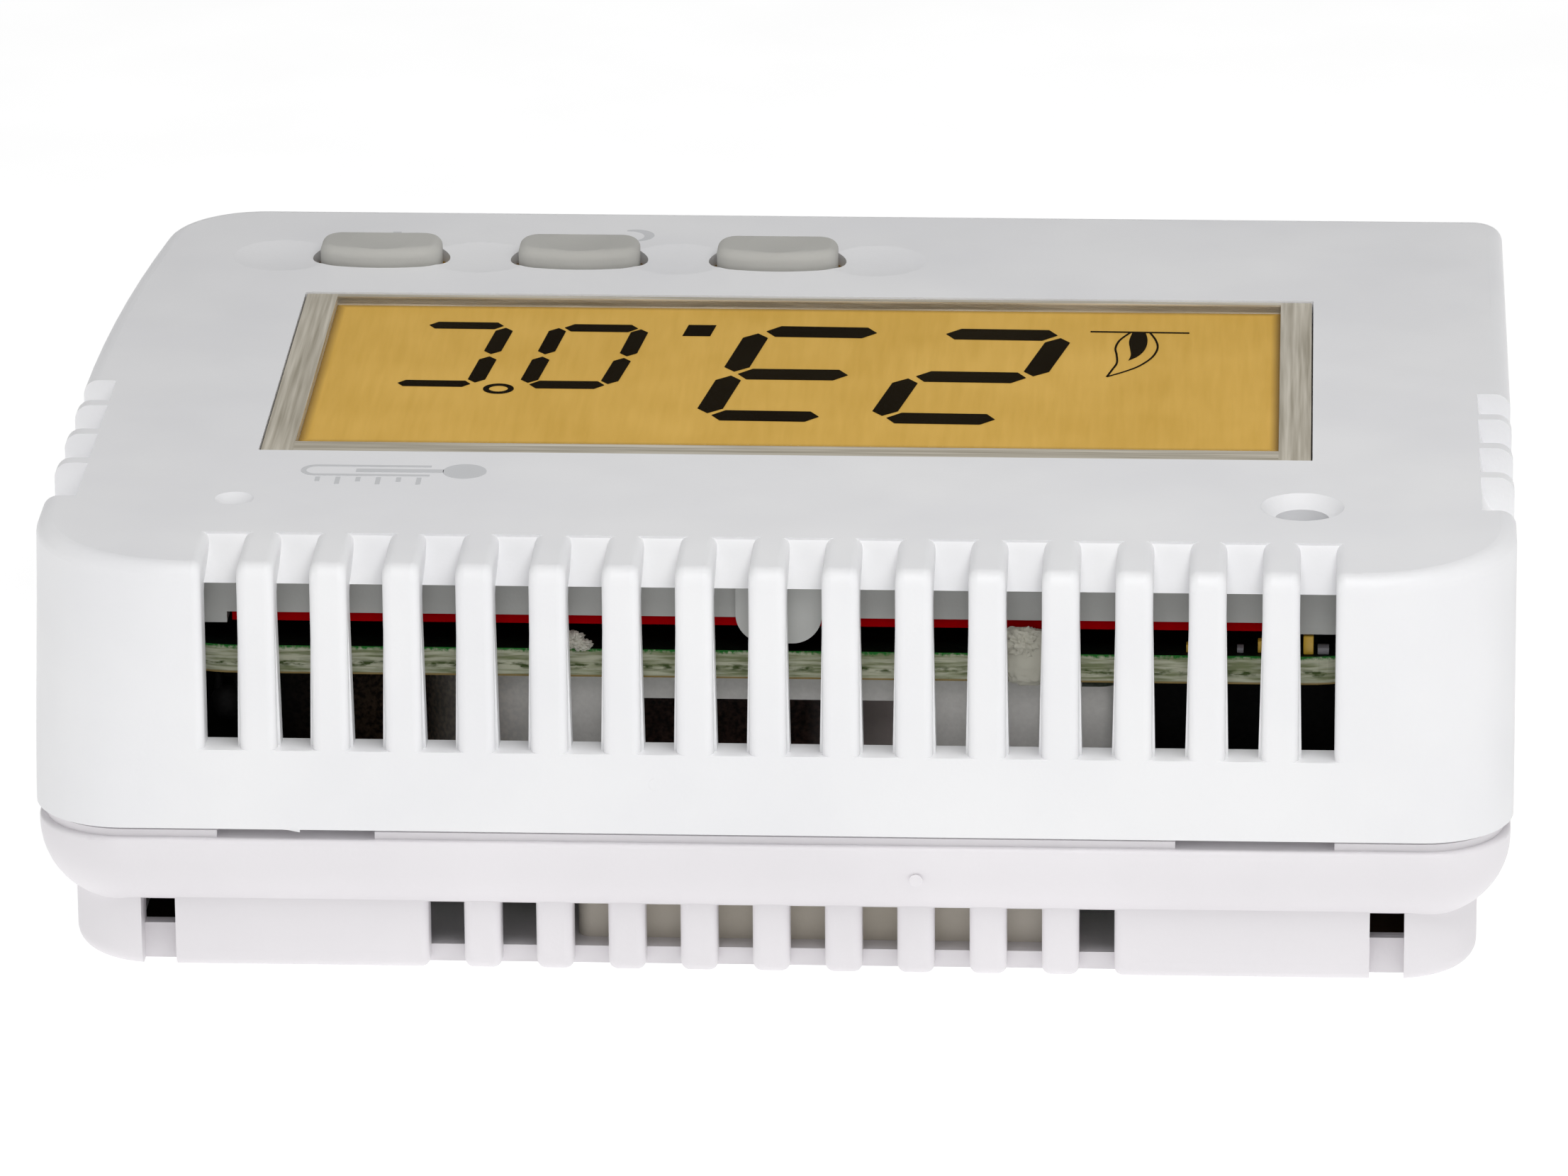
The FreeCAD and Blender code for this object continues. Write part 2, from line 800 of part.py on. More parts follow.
def temperature_sensor():
    """A bead on two leads, at the board's upper corner behind the vents."""
    bead = ball("bead", 33.0, 30.8, 16.6, 1.1)
    lead_a = post("bead_lead_a", 32.4, 30.8, (16.4, "board_bottom"), 0.25)
    lead_b = post("bead_lead_b", 33.6, 30.8, (16.4, "board_bottom"), 0.25)
    return fuse("temperature_sensor", [bead, lead_a, lead_b])


finish(temperature_sensor(), "temperature_sensor", nodes)


def contact_pin(name, x):
    """A round pin with a pointed tip, through the board and down into the base."""
    rod = post(name + "_rod", x, "contact_row", (5.2, "board_top"), 0.5)
    tip = cone(name + "_tip", x, "contact_row", (4.6, 5.2), 0.2, 0.5)
    return fuse(name, [rod, tip])


pins = [contact_pin(f"contact_pin_{n}", x) for n, x in enumerate(contact_places)]
finish(group("contact_pins", pins), "contact_pins", nodes)


def connector_housing():
    """Pale block under the board that steadies the pins, open at its front."""
    span = (11.8, "board_bottom")
    block = box("connector_block", (-21.1, 22), (22.5, 30.8), span)

    def end_round(edge):
        if not is_upright(edge) or edge.CenterOfMass.y < 30:
            return 0
        return 1.2 if edge.CenterOfMass.x < 0 else 7.0

    shaped = fillet("connector_shaped", block, end_round)
    front_room = box("connector_room", (-9.3, 9.3), (28.6, 32), (11, 17.1))
    top_step = box("connector_step", (-22, -18.8), (28, 32), ("board_bottom - 0.65", 20))
    tools = [front_room, top_step]
    for index, x in enumerate(contact_places):
        tools.append(post(f"connector_hole_{index}", x, "contact_row", (11, 20), 0.5))
    return cut("connector_housing", shaped, tools)


finish(connector_housing(), "connector_housing", nodes)


def adhesive_blobs():
    """Two beads of white adhesive on the board's upper edge."""
    first = ball("blob_a", 12.3, 31.2, "board_top", 1.2)
    second = ball("blob_b", -14.6, 31.1, "board_top", 1.55)
    ground = box("blob_room", (-20, 20), (29, 33.1), ("board_top", "backlight_bottom"))
    return common("adhesive_blobs", group("blob_pair", [first, second]), ground)


finish(adhesive_blobs(), "adhesive_blobs", nodes)

# ---------------------------------------------------------------- push buttons


def switch_body(index):
    x = button_places[index]
    case = box(
        f"switch_case_{index}",
        (f"{x} - 3", f"{x} + 3"),
        ("button_row - 3", "button_row + 3"),
        ("board_top", "switch_top"),
    )
    bore = post(f"switch_bore_{index}", x, "button_row", ("switch_top - 1.7", 24), "plunger_radius + 0.06")
    return cut(f"switch_{index}", case, [bore])


finish(group("switch_bodies", [switch_body(index) for index in range(3)]), "switch_bodies", nodes)


def button_cap(index):
    """A cap with soft edges and a dished top, and a flange that keeps it behind the face."""
    name = button_names[index]
    x = button_places[index]
    half_x = "button_width / 2"
    half_y = "button_depth / 2"
    cap_span = ("body_depth - face_wall - 0.4", "body_depth + button_proud")
    cap = bowed_block(f"cap_{name}", x, half_x, half_y, cap_span, 1.3, top_round=0.6)
    dish_radius = 18
    dish_depth = 0.12
    dish_height = f"body_depth + button_proud + {dish_radius - dish_depth}"
    dish = ball(f"dish_{name}", x, "button_row", dish_height, dish_radius)
    dished = cut(f"cap_{name}_dished", cap, [dish])
    flange = rounded_box(
        f"flange_{name}",
        (f"{x} - {half_x} - 1.1", f"{x} + {half_x} + 1.1"),
        (f"button_row - {half_y} - 0.9", f"button_row + {half_y} + 0.9"),
        ("plunger_top", "body_depth - face_wall - 0.3"),
        1.0,
    )
    return fuse(f"button_cap_{name}", [dished, flange])


def switch_plunger(index):
    name = f"switch_plunger_{button_names[index]}"
    span = ("switch_top - 1", "plunger_top")
    return post(name, button_places[index], "button_row", span, "plunger_radius")


for number, word in enumerate(button_names):
    finish(button_cap(number), f"button_{word}", nodes)
    finish(switch_plunger(number), f"plunger_{word}", nodes)

# ---------------------------------------------------------------- locking screw


def locking_screw():
    """A long slim screw that reaches from the cover's recess into the base."""
    radius = "locking_shank - 0.03"
    place_xy = ("locking_x", "locking_y")
    head_span = ("locking_seat + 0.03", "locking_top")
    shank_span = ("locking_tip + 0.7", "locking_seat + 0.03")
    head = post("locking_head_rod", *place_xy, head_span, "locking_head")
    shank = post("locking_shank_rod", *place_xy, shank_span, radius)
    tip = cone("locking_tip_cone", *place_xy, ("locking_tip", "locking_tip + 0.7"), 0.3, radius)
    slot_span = ("locking_top - 0.8", "locking_top + 1")
    wide_x, wide_y = [(f"{c} - 1.05", f"{c} + 1.05") for c in place_xy]
    slim_x, slim_y = [(f"{c} - 0.2", f"{c} + 0.2") for c in place_xy]
    slots = [
        box("locking_slot_a", wide_x, slim_y, slot_span),
        box("locking_slot_b", slim_x, wide_y, slot_span),
    ]
    return cut("locking_screw", fuse("locking_body", [head, shank, tip]), slots)


finish(locking_screw(), "locking_screw", nodes)

# ---------------------------------------------------------------- base


def base_ribs():
    """Ribs of the vents in the pedestal's upper wall."""
    bottom_round = size("pedestal_round")
    inner = pedestal_face - size("base_wall")
    corner = 2 ** -0.5
    head = size("base_vent_top") + 0.5
    points = [
        (pedestal_face, head),
        (pedestal_face, bottom_round),
        (pedestal_face - bottom_round, 0),
        (inner, 0),
        (inner, head),
    ]
    middle = (pedestal_face - bottom_round * (1 - corner), bottom_round * (1 - corner))
    sketch = side_profile("base_rib_profile", points, {1: middle})

    def is_outer(piece):
        y, z = piece.CenterOfMass.y, piece.CenterOfMass.z
        return y > pedestal_face - 0.6 or (z < 0.1 and y > inner + 0.1)

    ribs = []
    for step in range(1, base_vent_count):
        rib = extrude_x(f"base_rib_{step}_plain", sketch, "rib_width", f"({step} - 5) * vent_pitch")
        ribs.append(round_rib(f"base_rib_{step}", rib, is_outer))
    flank_width = size("rib_width") / 2
    for side in (-1, 1):
        place_x = f"{side} * (5 * vent_pitch - rib_width / 4)"
        flank = extrude_x(f"base_flank_{side + 1}_plain", sketch, flank_width, place_x)
        ribs.append(round_rib(f"base_flank_{side + 1}", flank, is_outer, sides=(-side,)))
    return ribs


def base_housing():
    belly_span = ("belly_bottom", "belly_top")
    belly = outline_block("belly_blank", "belly_inset", belly_span, base_corners)
    belly_round = size("belly_round")
    belly_low = size("belly_bottom")
    belly_edge = size("belly_edge")
    belly_high = size("belly_top")
    belly_under = fillet("belly_under", belly, lambda edge: belly_round * lies_at(edge, belly_low))
    belly_shape = fillet("belly_rounded", belly_under, lambda edge: belly_edge * lies_at(edge, belly_high))
    pedestal_span = ("0", "belly_bottom + 2")
    pedestal = outline_block("pedestal_blank", "pedestal_inset", pedestal_span, pedestal_corners)
    pedestal_shape = fillet(
        "pedestal_rounded", pedestal, lambda edge: size("pedestal_round") * lies_at(edge, 0)
    )
    lip_span = ("belly_bottom + 2", "lip_top")
    lip = outline_block("lip_blank", "lip_inset", lip_span, cover_corners)
    rim = outline_block("rim_blank", "rim_inset", ("belly_top - 1", "rim_top"), base_corners)
    solid = fuse("base_solid", [belly_shape, pedestal_shape, lip, rim])

    inner_face = "body_height / 2 - pedestal_inset - base_wall"
    tray = outline_block(
        "base_tray", "(pedestal_inset + base_wall)", ("base_floor", "lip_top + 1"), cover_corners
    )
    band = box(
        "base_band",
        ("-5 * vent_pitch", "5 * vent_pitch"),
        ("body_height / 2 - pedestal_inset - base_wall", "body_height / 2 + 1"),
        (-1, "base_vent_top"),
    )
    tools = [tray, band]
    for side in (-1, 1):
        centre = f"{side} * {side_vent_step} * vent_pitch"
        tools.append(
            box(
                f"side_vent_{side + 1}",
                (f"{centre} - 1.05", f"{centre} + 1.05"),
                (inner_face, "body_height / 2 + 1"),
                (-1, "base_vent_top"),
            )
        )
        tools.append(
            box(
                f"side_room_{side + 1}",
                (f"{centre} - 1.05", f"{centre} + 1.05"),
                (f"{inner_face} - 6", inner_face),
                ("base_floor", "base_vent_top"),
            )
        )
        release = "release_left" if side < 0 else "release_right"
        tools.append(
            box(
                f"lip_release_{side + 1}",
                (f"{release} - release_width / 2", f"{release} + release_width / 2"),
                ("body_height / 2 - lip_inset + 0.5", "body_height / 2"),
                ("belly_top", "rim_top + 1"),
            )
        )
        tools.append(wall_slot(side))
    tools.append(
        rounded_box(
            "cable_opening",
            ("-cable_width / 2", "cable_width / 2"),
            ("cable_row - cable_height / 2", "cable_row + cable_height / 2"),
            (-1, "base_floor + 1"),
            2.0,
        )
    )
    hollowed = cut("base_hollowed", solid, tools)

    pieces = [hollowed] + base_ribs()
    for side in (-1, 1):
        centre = f"{side} * {side_vent_step} * vent_pitch"
        pad = box(
            f"corner_pad_{side + 1}",
            (f"{centre} - 2.4", f"{centre} + 2.0"),
            (f"{inner_face} - 0.9", inner_face),
            (0.2, 2.27),
        )
        pieces.append(common(f"corner_pad_in_{side + 1}", pad, pedestal_shape))
    boss = post("base_boss", "locking_x", "locking_y", ("0.2", 9.0), 2.6)
    bore = post("base_boss_bore", "locking_x", "locking_y", (4.0, 10), "locking_shank + 0.05")
    pieces.append(cut("base_boss_ring", boss, [bore]))
    return fuse("base_housing", pieces)


def wall_slot(side):
    """One slotted wall-fixing hole, with its length along X."""
    centre = f"{side} * wall_hole_spacing / 2"
    reach = "(wall_hole_slot / 2 - wall_hole_radius)"
    name = f"wall_slot_{side + 1}"
    bar = box(
        name + "_bar",
        (f"{centre} - {reach}", f"{centre} + {reach}"),
        ("-wall_hole_radius", "wall_hole_radius"),
        (-1, "base_floor + 1"),
    )
    span = (-1, "base_floor + 1")
    pieces = [bar]
    for way in (-1, 1):
        end_x = f"{centre} + {way} * {reach}"
        pieces.append(post(f"{name}_end_{way + 1}", end_x, 0, span, "wall_hole_radius"))
    return fuse(name, pieces)


finish(base_housing(), "base_housing", nodes)

# ---------------------------------------------------------------- terminals and sockets


def terminal_block():
    """Block of wire entries with a screw shaft above each."""
    block = box(
        "terminal_case",
        ("-2.5 * terminal_pitch - 1", "2.5 * terminal_pitch + 1"),
        ("terminal_row - 4.5", "terminal_row + 4.5"),
        ("base_floor", 9.0),
    )
    tools = []
    for index, x in enumerate(terminal_places):
        tools.append(
            box(
                f"clamp_room_{index}",
                (f"{x} - 1.9", f"{x} + 1.9"),
                ("terminal_row - 3", "terminal_row + 5"),
                (2.0, 5.8),
            )
        )
        tools.append(post(f"screw_shaft_{index}", x, "terminal_row", (5, 10), 1.75))
    return cut("terminal_block", block, tools)


finish(terminal_block(), "terminal_block", nodes)


def clamp(index):
    """A square brass sleeve that grips a wire, with the screw coming in from above."""
    x = terminal_places[index]
    outer_x, inner_x = [(f"{x} - {half}", f"{x} + {half}") for half in (1.9, 1.3)]
    outer_y, inner_y = [(f"terminal_row - {half}", f"terminal_row + {half}") for half in (3, 4)]
    sleeve = box(f"sleeve_{index}", outer_x, outer_y, (2.0, 5.8))
    wire_room = box(f"wire_room_{index}", inner_x, inner_y, (2.6, 4.8))
    thread = post(f"clamp_thread_{index}", x, "terminal_row", (4.5, 6), 1.0)
    return cut(f"clamp_{index}", sleeve, [wire_room, thread])


finish(group("terminal_clamps", [clamp(index) for index in range(5)]), "terminal_clamps", nodes)

screws = []
for number, place_x in enumerate(terminal_places):
    screws.append(screw(f"terminal_screw_{number}", place_x, "terminal_row", 6.4, 2.2, 1.7, 1.0, False))
finish(group("terminal_screws", screws), "terminal_screws", nodes)


def socket(index):
    """A brass tube that takes a contact pin."""
    x = contact_places[index]
    tube = post(f"socket_tube_{index}", x, "contact_row", (3.0, 9.0), 1.2)
    bore = post(f"socket_bore_{index}", x, "contact_row", (4.0, 10.0), 0.62)
    return cut(f"socket_{index}", tube, [bore])


finish(group("contact_sockets", [socket(index) for index in range(5)]), "contact_sockets", nodes)

carrier_block = rounded_box("carrier_block", (-18, 12), (23.4, 29.8), ("base_floor", 8.7), 0.8)
carrier_holes = []
for number, place_x in enumerate(contact_places):
    carrier_holes.append(post(f"carrier_hole_{number}", place_x, "contact_row", (3.0, 10.0), 1.2))
finish(cut("socket_carrier", carrier_block, carrier_holes), "socket_carrier", nodes)

tails = []
for number, place_x in enumerate(contact_places):
    tail_x = (f"{place_x} - 0.5", f"{place_x} + 0.5")
    tails.append(box(f"tail_{number}", tail_x, (20.0, 23.4), (3.4, 4.0)))
finish(group("contact_tails", tails), "contact_tails", nodes)

# ---------------------------------------------------------------- checks and export

doc.recompute()

for item in doc.Objects:
    bad = [state for state in item.State if state in ("Invalid", "Error")]
    if bad:
        raise RuntimeError(f"{item.Name} failed: {item.State}")

os.makedirs("parts", exist_ok=True)
for node in nodes:
    shape = node.Shape
    if shape.isNull() or not shape.isValid() or shape.Volume <= 0:
        raise RuntimeError(f"{node.Label} has no valid shape")
    print(f"{node.Label}: {len(shape.Solids)} solids, {shape.Volume:.1f} cubic mm")
    shape.exportStep(os.path.join("parts", node.Label + ".step"))
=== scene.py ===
"""Looks of a wall thermostat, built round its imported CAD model.

Lengths are in millimetres, in the model's own frame, unless a comment says otherwise.
"""

import json
import math

import bmesh
import bpy
from mathutils import Matrix, Vector, noise


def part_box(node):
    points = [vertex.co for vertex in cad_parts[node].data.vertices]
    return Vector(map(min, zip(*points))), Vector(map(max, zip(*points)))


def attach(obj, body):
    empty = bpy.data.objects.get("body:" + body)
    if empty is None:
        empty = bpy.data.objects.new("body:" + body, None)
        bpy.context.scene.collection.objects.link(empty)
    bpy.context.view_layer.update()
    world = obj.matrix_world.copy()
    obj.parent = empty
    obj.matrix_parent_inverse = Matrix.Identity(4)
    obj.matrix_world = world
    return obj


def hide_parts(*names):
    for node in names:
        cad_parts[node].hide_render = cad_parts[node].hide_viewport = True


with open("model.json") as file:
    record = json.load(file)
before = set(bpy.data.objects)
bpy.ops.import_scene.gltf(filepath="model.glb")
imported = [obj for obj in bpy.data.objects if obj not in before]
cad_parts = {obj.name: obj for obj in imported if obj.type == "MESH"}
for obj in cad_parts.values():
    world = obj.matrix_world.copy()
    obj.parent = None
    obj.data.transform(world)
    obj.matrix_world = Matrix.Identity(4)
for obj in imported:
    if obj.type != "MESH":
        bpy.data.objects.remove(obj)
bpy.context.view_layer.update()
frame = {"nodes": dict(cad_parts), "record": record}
MM = 0.001
MOST_NOISE = (0.35, 0.65)


def srgb(red, green, blue):
    """A linear colour from display values of 0 to 255."""

    def one(value):
        value /= 255
        return value / 12.92 if value <= 0.04045 else ((value + 0.055) / 1.055) ** 2.4

    return (one(red), one(green), one(blue), 1.0)


def box_mm(node):
    """A CAD node's lowest and highest corners."""
    low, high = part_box(node)
    return low / MM, high / MM


def middle_mm(node):
    """The middle of a CAD node's box."""
    low, high = box_mm(node)
    return (low + high) / 2


CELL_LOW, CELL_HIGH = box_mm("display_glass")
BOARD_LOW, BOARD_HIGH = box_mm("main_board")
RED_LOW, RED_HIGH = box_mm("backlight_board")
COVER_LOW, COVER_HIGH = box_mm("front_cover")
BASE_HIGH = box_mm("base_housing")[1]
BUTTONS = {word: middle_mm(f"button_{word}") for word in ("up", "down", "mode")}


# ---------------------------------------------------------------- materials


class Look:
    """A material whose patterns come from nodes on the object's own coordinates."""

    def __init__(self, name, roughness=0.5, **plain):
        self.material = bpy.data.materials.new(name)
        self.material.use_nodes = True
        self.tree = self.material.node_tree
        self.shader = self.tree.nodes["Principled BSDF"]
        self.shader.inputs["Roughness"].default_value = roughness
        for socket, value in plain.items():
            self.shader.inputs[socket.replace("_", " ")].default_value = value
        self.place = self.add("ShaderNodeTexCoord").outputs["Object"]
        self.height = None

    def add(self, kind, **settings):
        item = self.tree.nodes.new(kind)
        for key, value in settings.items():
            setattr(item, key, value)
        return item

    def join(self, source, target):
        self.tree.links.new(source, target)

    def feed(self, socket, source):
        self.join(source, self.shader.inputs[socket])

    def scaled(self, stretch):
        """The coordinates in millimetres, times stretch."""
        mapping = self.add("ShaderNodeMapping")
        mapping.inputs["Scale"].default_value = [s / MM for s in stretch]
        self.join(self.place, mapping.inputs["Vector"])
        return mapping.outputs["Vector"]

    def grain(self, feature, detail=2.0, stretch=(1, 1, 1)):
        """Noise whose features are about this many millimetres across."""
        texture = self.add("ShaderNodeTexNoise")
        texture.inputs["Scale"].default_value = 1.0 / feature
        texture.inputs["Detail"].default_value = detail
        self.join(self.scaled(stretch), texture.inputs["Vector"])
        return texture.outputs["Fac"]

    def axis(self, letter):
        """One coordinate in millimetres."""
        split = self.add("ShaderNodeSeparateXYZ")
        self.join(self.scaled((1, 1, 1)), split.inputs[0])
        return split.outputs[letter]

    def facing(self, letter):
        """One component of the surface's own normal."""
        split = self.add("ShaderNodeSeparateXYZ")
        self.join(self.add("ShaderNodeNewGeometry").outputs["Normal"], split.inputs[0])
        return split.outputs[letter]

    def math(self, operation, first, second=0.0):
        """A sum on two numbers, each a value or another node's output."""
        item = self.add("ShaderNodeMath", operation=operation)
        for socket, value in zip(item.inputs, (first, second)):
            if isinstance(value, (int, float)):
                socket.default_value = value
            else:
                self.join(value, socket)
        return item.outputs[0]

    def ramp(self, source, low, high, start=0.0, end=1.0):
        """source between low and high, mapped to between start and end, and held there outside."""
        item = self.add("ShaderNodeMapRange")
        self.join(source, item.inputs["Value"])
        for socket, value in zip(("From Min", "From Max", "To Min", "To Max"), (low, high, start, end)):
            item.inputs[socket].default_value = value
        return item.outputs["Result"]

    def mix(self, share, first, second):
        """A colour between first and second, each a colour or another mix."""
        item = self.add("ShaderNodeMix", data_type="RGBA")
        self.join(share, item.inputs["Factor"])
        for socket, value in ((item.inputs[6], first), (item.inputs[7], second)):
            if isinstance(value, tuple):
                socket.default_value = value
            else:
                self.join(value, socket)
        return item.outputs[2]

    def bump(self, height, depth, strength=1.0):
        """Relief of this depth, on top of any that is already there."""
        item = self.add("ShaderNodeBump")
        item.inputs["Distance"].default_value = depth * MM
        item.inputs["Strength"].default_value = strength
        self.join(height, item.inputs["Height"])
        if self.height:
            self.join(self.height, item.inputs["Normal"])
        self.height = item.outputs["Normal"]
        self.feed("Normal", self.height)

    def shades(self, first, second, feature, stretch=(1, 1, 1)):
        """Base colour that wanders between two shades."""
        share = self.ramp(self.grain(feature, 3.0, stretch), *MOST_NOISE)
        self.feed("Base Color", self.mix(share, first, second))

    def sheen_spread(self, low, high, feature, stretch=(1, 1, 1)):
        """Roughness that wanders between two values."""
        self.feed("Roughness", self.ramp(self.grain(feature, 3.0, stretch), *MOST_NOISE, low, high))


def plastic(name, first, second, rough=(0.42, 0.52), grain=0.28, depth=0.012, **plain):
    """Moulded plastic with a fine eroded texture and a faint drift of shade."""
    look = Look(name, **plain)
    look.shades(first, second, 14.0)
    look.sheen_spread(*rough, 5.0)
    look.bump(look.grain(grain, 3.0), depth)
    look.bump(look.grain(grain * 7, 2.0), depth * 1.5, 0.6)
    return look


def metal(name, first, second, rough=(0.25, 0.4), feature=1.2, stretch=(1, 1, 1)):
    """Metal with brushed or mottled shades, and a fine relief."""
    look = Look(name, Metallic=1.0)
    look.shades(first, second, feature, stretch)
    look.sheen_spread(*rough, feature, stretch)
    look.bump(look.grain(feature * 0.3, 2.0, stretch), 0.01)
    return look


def display_look():
    """Amber cell with a painted glow, nearly even and faintly brushed, with painted shade making it darker
    and browner along its edges.
    """
    look = Look("amber_cell", roughness=0.5, Specular_IOR_Level=0.03)
    brushed = look.ramp(look.grain(0.5, 3.0, (1, 0.08, 1)), 0.3, 0.7)
    cloudy = look.ramp(look.grain(9.0, 2.0), *MOST_NOISE)
    lively = look.math("ADD", look.math("MULTIPLY", brushed, 0.5), look.math("MULTIPLY", cloudy, 0.5))
    amber = look.mix(lively, srgb(187, 149, 68), srgb(200, 162, 82))
    side_starts, side_ends = CELL_HIGH.x - 0.6, CELL_HIGH.x + 0.1
    upper_starts, upper_ends, upper_share = CELL_HIGH.y - 2.2, CELL_HIGH.y - 1.4, 0.75
    lower_starts, lower_ends, lower_share = CELL_LOW.y + 0.5, CELL_LOW.y, 0.6
    sides = look.ramp(look.math("ABSOLUTE", look.axis("X")), side_starts, side_ends)
    upper = look.ramp(look.axis("Y"), upper_starts, upper_ends, 0.0, upper_share)
    lower = look.ramp(look.axis("Y"), lower_starts, lower_ends, 0.0, lower_share)
    edge = look.math("MAXIMUM", sides, look.math("MAXIMUM", upper, lower))
    # Painted shade: the edge mask darkens the amber to brown along the cell's rim.
    colour = look.mix(edge, amber, srgb(104, 80, 44))
    look.feed("Base Color", colour)
    # Painted glow: the emission brightens the whole cell.
    look.feed("Emission Color", colour)
    look.shader.inputs["Emission Strength"].default_value = 0.31
    return look


def pane_look():
    """Clear acrylic: what is behind it shows straight through, under a gloss that grows at a slant."""
    look = Look("clear_pane")
    tree = look.tree
    gloss = look.add("ShaderNodeBsdfGlossy")
    gloss.inputs["Roughness"].default_value = 0.06
    clear = look.add("ShaderNodeBsdfTransparent")
    clear.inputs["Color"].default_value = (0.99, 0.99, 0.99, 1.0)
    slant = look.add("ShaderNodeLayerWeight").outputs["Facing"]
    gloss_ahead, gloss_added = 0.002, 0.03
    share = look.math("ADD", look.math("MULTIPLY", look.math("POWER", slant, 5.0), gloss_added), gloss_ahead)
    ripple = look.add("ShaderNodeBump")
    ripple.inputs["Distance"].default_value = 0.01 * MM
    look.join(look.grain(6.0, 2.0), ripple.inputs["Height"])
    look.join(ripple.outputs["Normal"], gloss.inputs["Normal"])
    shown = look.add("ShaderNodeMixShader")
    look.join(share, shown.inputs["Fac"])
    look.join(clear.outputs[0], shown.inputs[1])
    look.join(gloss.outputs[0], shown.inputs[2])
    look.join(shown.outputs[0], tree.nodes["Material Output"].inputs["Surface"])
    tree.nodes.remove(look.shader)
    return look


def bezel_look():
    """Grey beige frame under the pane, streaked along each side."""
    look = Look("bezel_frame", roughness=0.4)
    side_starts = CELL_HIGH.x
    along_x = look.grain(0.35, 2.0, (0.03, 1, 1))
    along_y = look.grain(0.35, 2.0, (1, 0.03, 1))
    at_side = look.math("GREATER_THAN", look.math("ABSOLUTE", look.axis("X")), side_starts)
    pick = look.add("ShaderNodeMix", data_type="FLOAT")
    look.join(at_side, pick.inputs["Factor"])
    look.join(along_x, pick.inputs[2])
    look.join(along_y, pick.inputs[3])
    streaks = look.ramp(pick.outputs[0], 0.3, 0.7)
    look.feed("Base Color", look.mix(streaks, srgb(158, 150, 132), srgb(212, 205, 190)))
    look.bump(streaks, 0.02)
    return look


def board_look():
    """Green board: mask with paler tracks on its faces, nearly black on the upper face as painted shade,
    layered glass fibre on its edges.
    """
    look = Look("green_laminate", Specular_IOR_Level=0.2)
    low_line = (BOARD_LOW.z + 0.16, BOARD_LOW.z + 0.08)
    green_line = (BOARD_HIGH.z + 0.02, BOARD_HIGH.z + 0.2)
    torn_line, torn_most, torn_least = BOARD_LOW.z + 0.7, 0.08, 0.3
    edge_roughness, face_roughness = 0.85, 0.5
    tracks = look.add("ShaderNodeTexVoronoi", feature="F1", distance="MANHATTAN")
    tracks.inputs["Scale"].default_value = 0.42
    look.join(look.scaled((1, 1, 0)), tracks.inputs["Vector"])
    bands = look.math("FRACT", look.math("MULTIPLY", tracks.outputs["Distance"], 2.6))
    on_track = look.ramp(bands, 0.55, 0.62)
    below = look.math("LESS_THAN", look.facing("Z"), 0.0)
    # Painted shade: the upper face's mask is near black, and the lower face keeps the mask's own green.
    shaded_top_mask = look.mix(on_track, srgb(2, 8, 4), srgb(4, 14, 7))
    mask = look.mix(below, shaded_top_mask, look.mix(on_track, srgb(18, 62, 34), srgb(40, 96, 50)))
    layers = look.grain(0.2, 3.0, (0.08, 0.08, 1))
    fibre = look.mix(look.ramp(layers, 0.36, 0.6), srgb(124, 132, 98), srgb(188, 190, 168))
    depth = look.axis("Z")
    wander = look.math("MULTIPLY", look.grain(0.22, 3.0), 0.5)
    off_line = look.math("ABSOLUTE", look.math("SUBTRACT", depth, torn_line))
    patches = look.ramp(look.grain(0.3, 3.0, (0.35, 0.35, 1)), 0.46, 0.6)
    torn = look.math("MULTIPLY", patches, look.ramp(off_line, torn_least, torn_most))
    streaked = look.mix(torn, fibre, srgb(66, 80, 42))
    under = look.mix(look.ramp(depth, *low_line), streaked, srgb(140, 120, 76))
    edge = look.mix(look.ramp(look.math("ADD", depth, wander), *green_line), under, srgb(34, 112, 42))
    flat = look.math("GREATER_THAN", look.math("ABSOLUTE", look.facing("Z")), 0.7)
    look.feed("Base Color", look.mix(flat, edge, mask))
    look.feed("Roughness", look.ramp(flat, 0, 1, edge_roughness, face_roughness))
    look.bump(on_track, 0.03, 0.4)
    look.bump(layers, 0.03, 0.5)
    return look


def coil_look():
    """Small transformer: a dark stacked core round a coil wrapped in yellow tape."""
    look = Look("transformer_skin", roughness=0.45)
    stack = look.math("FRACT", look.math("MULTIPLY", look.axis("Z"), 2.0))
    core = look.mix(look.ramp(stack, 0.8, 0.95), srgb(58, 56, 54), srgb(24, 23, 22))
    tape = look.mix(look.ramp(look.grain(1.5, 3.0), *MOST_NOISE), srgb(206, 166, 42), srgb(224, 190, 72))
    coil_middle, coil_half = middle_mm("transformer").y, 8.0
    off_middle = look.math("ABSOLUTE", look.math("SUBTRACT", look.axis("Y"), coil_middle))
    outside = look.ramp(off_middle, coil_half, coil_half + 0.02)
    look.feed("Base Color", look.mix(outside, core, tape))
    look.bump(stack, 0.03, 0.5)
    return look


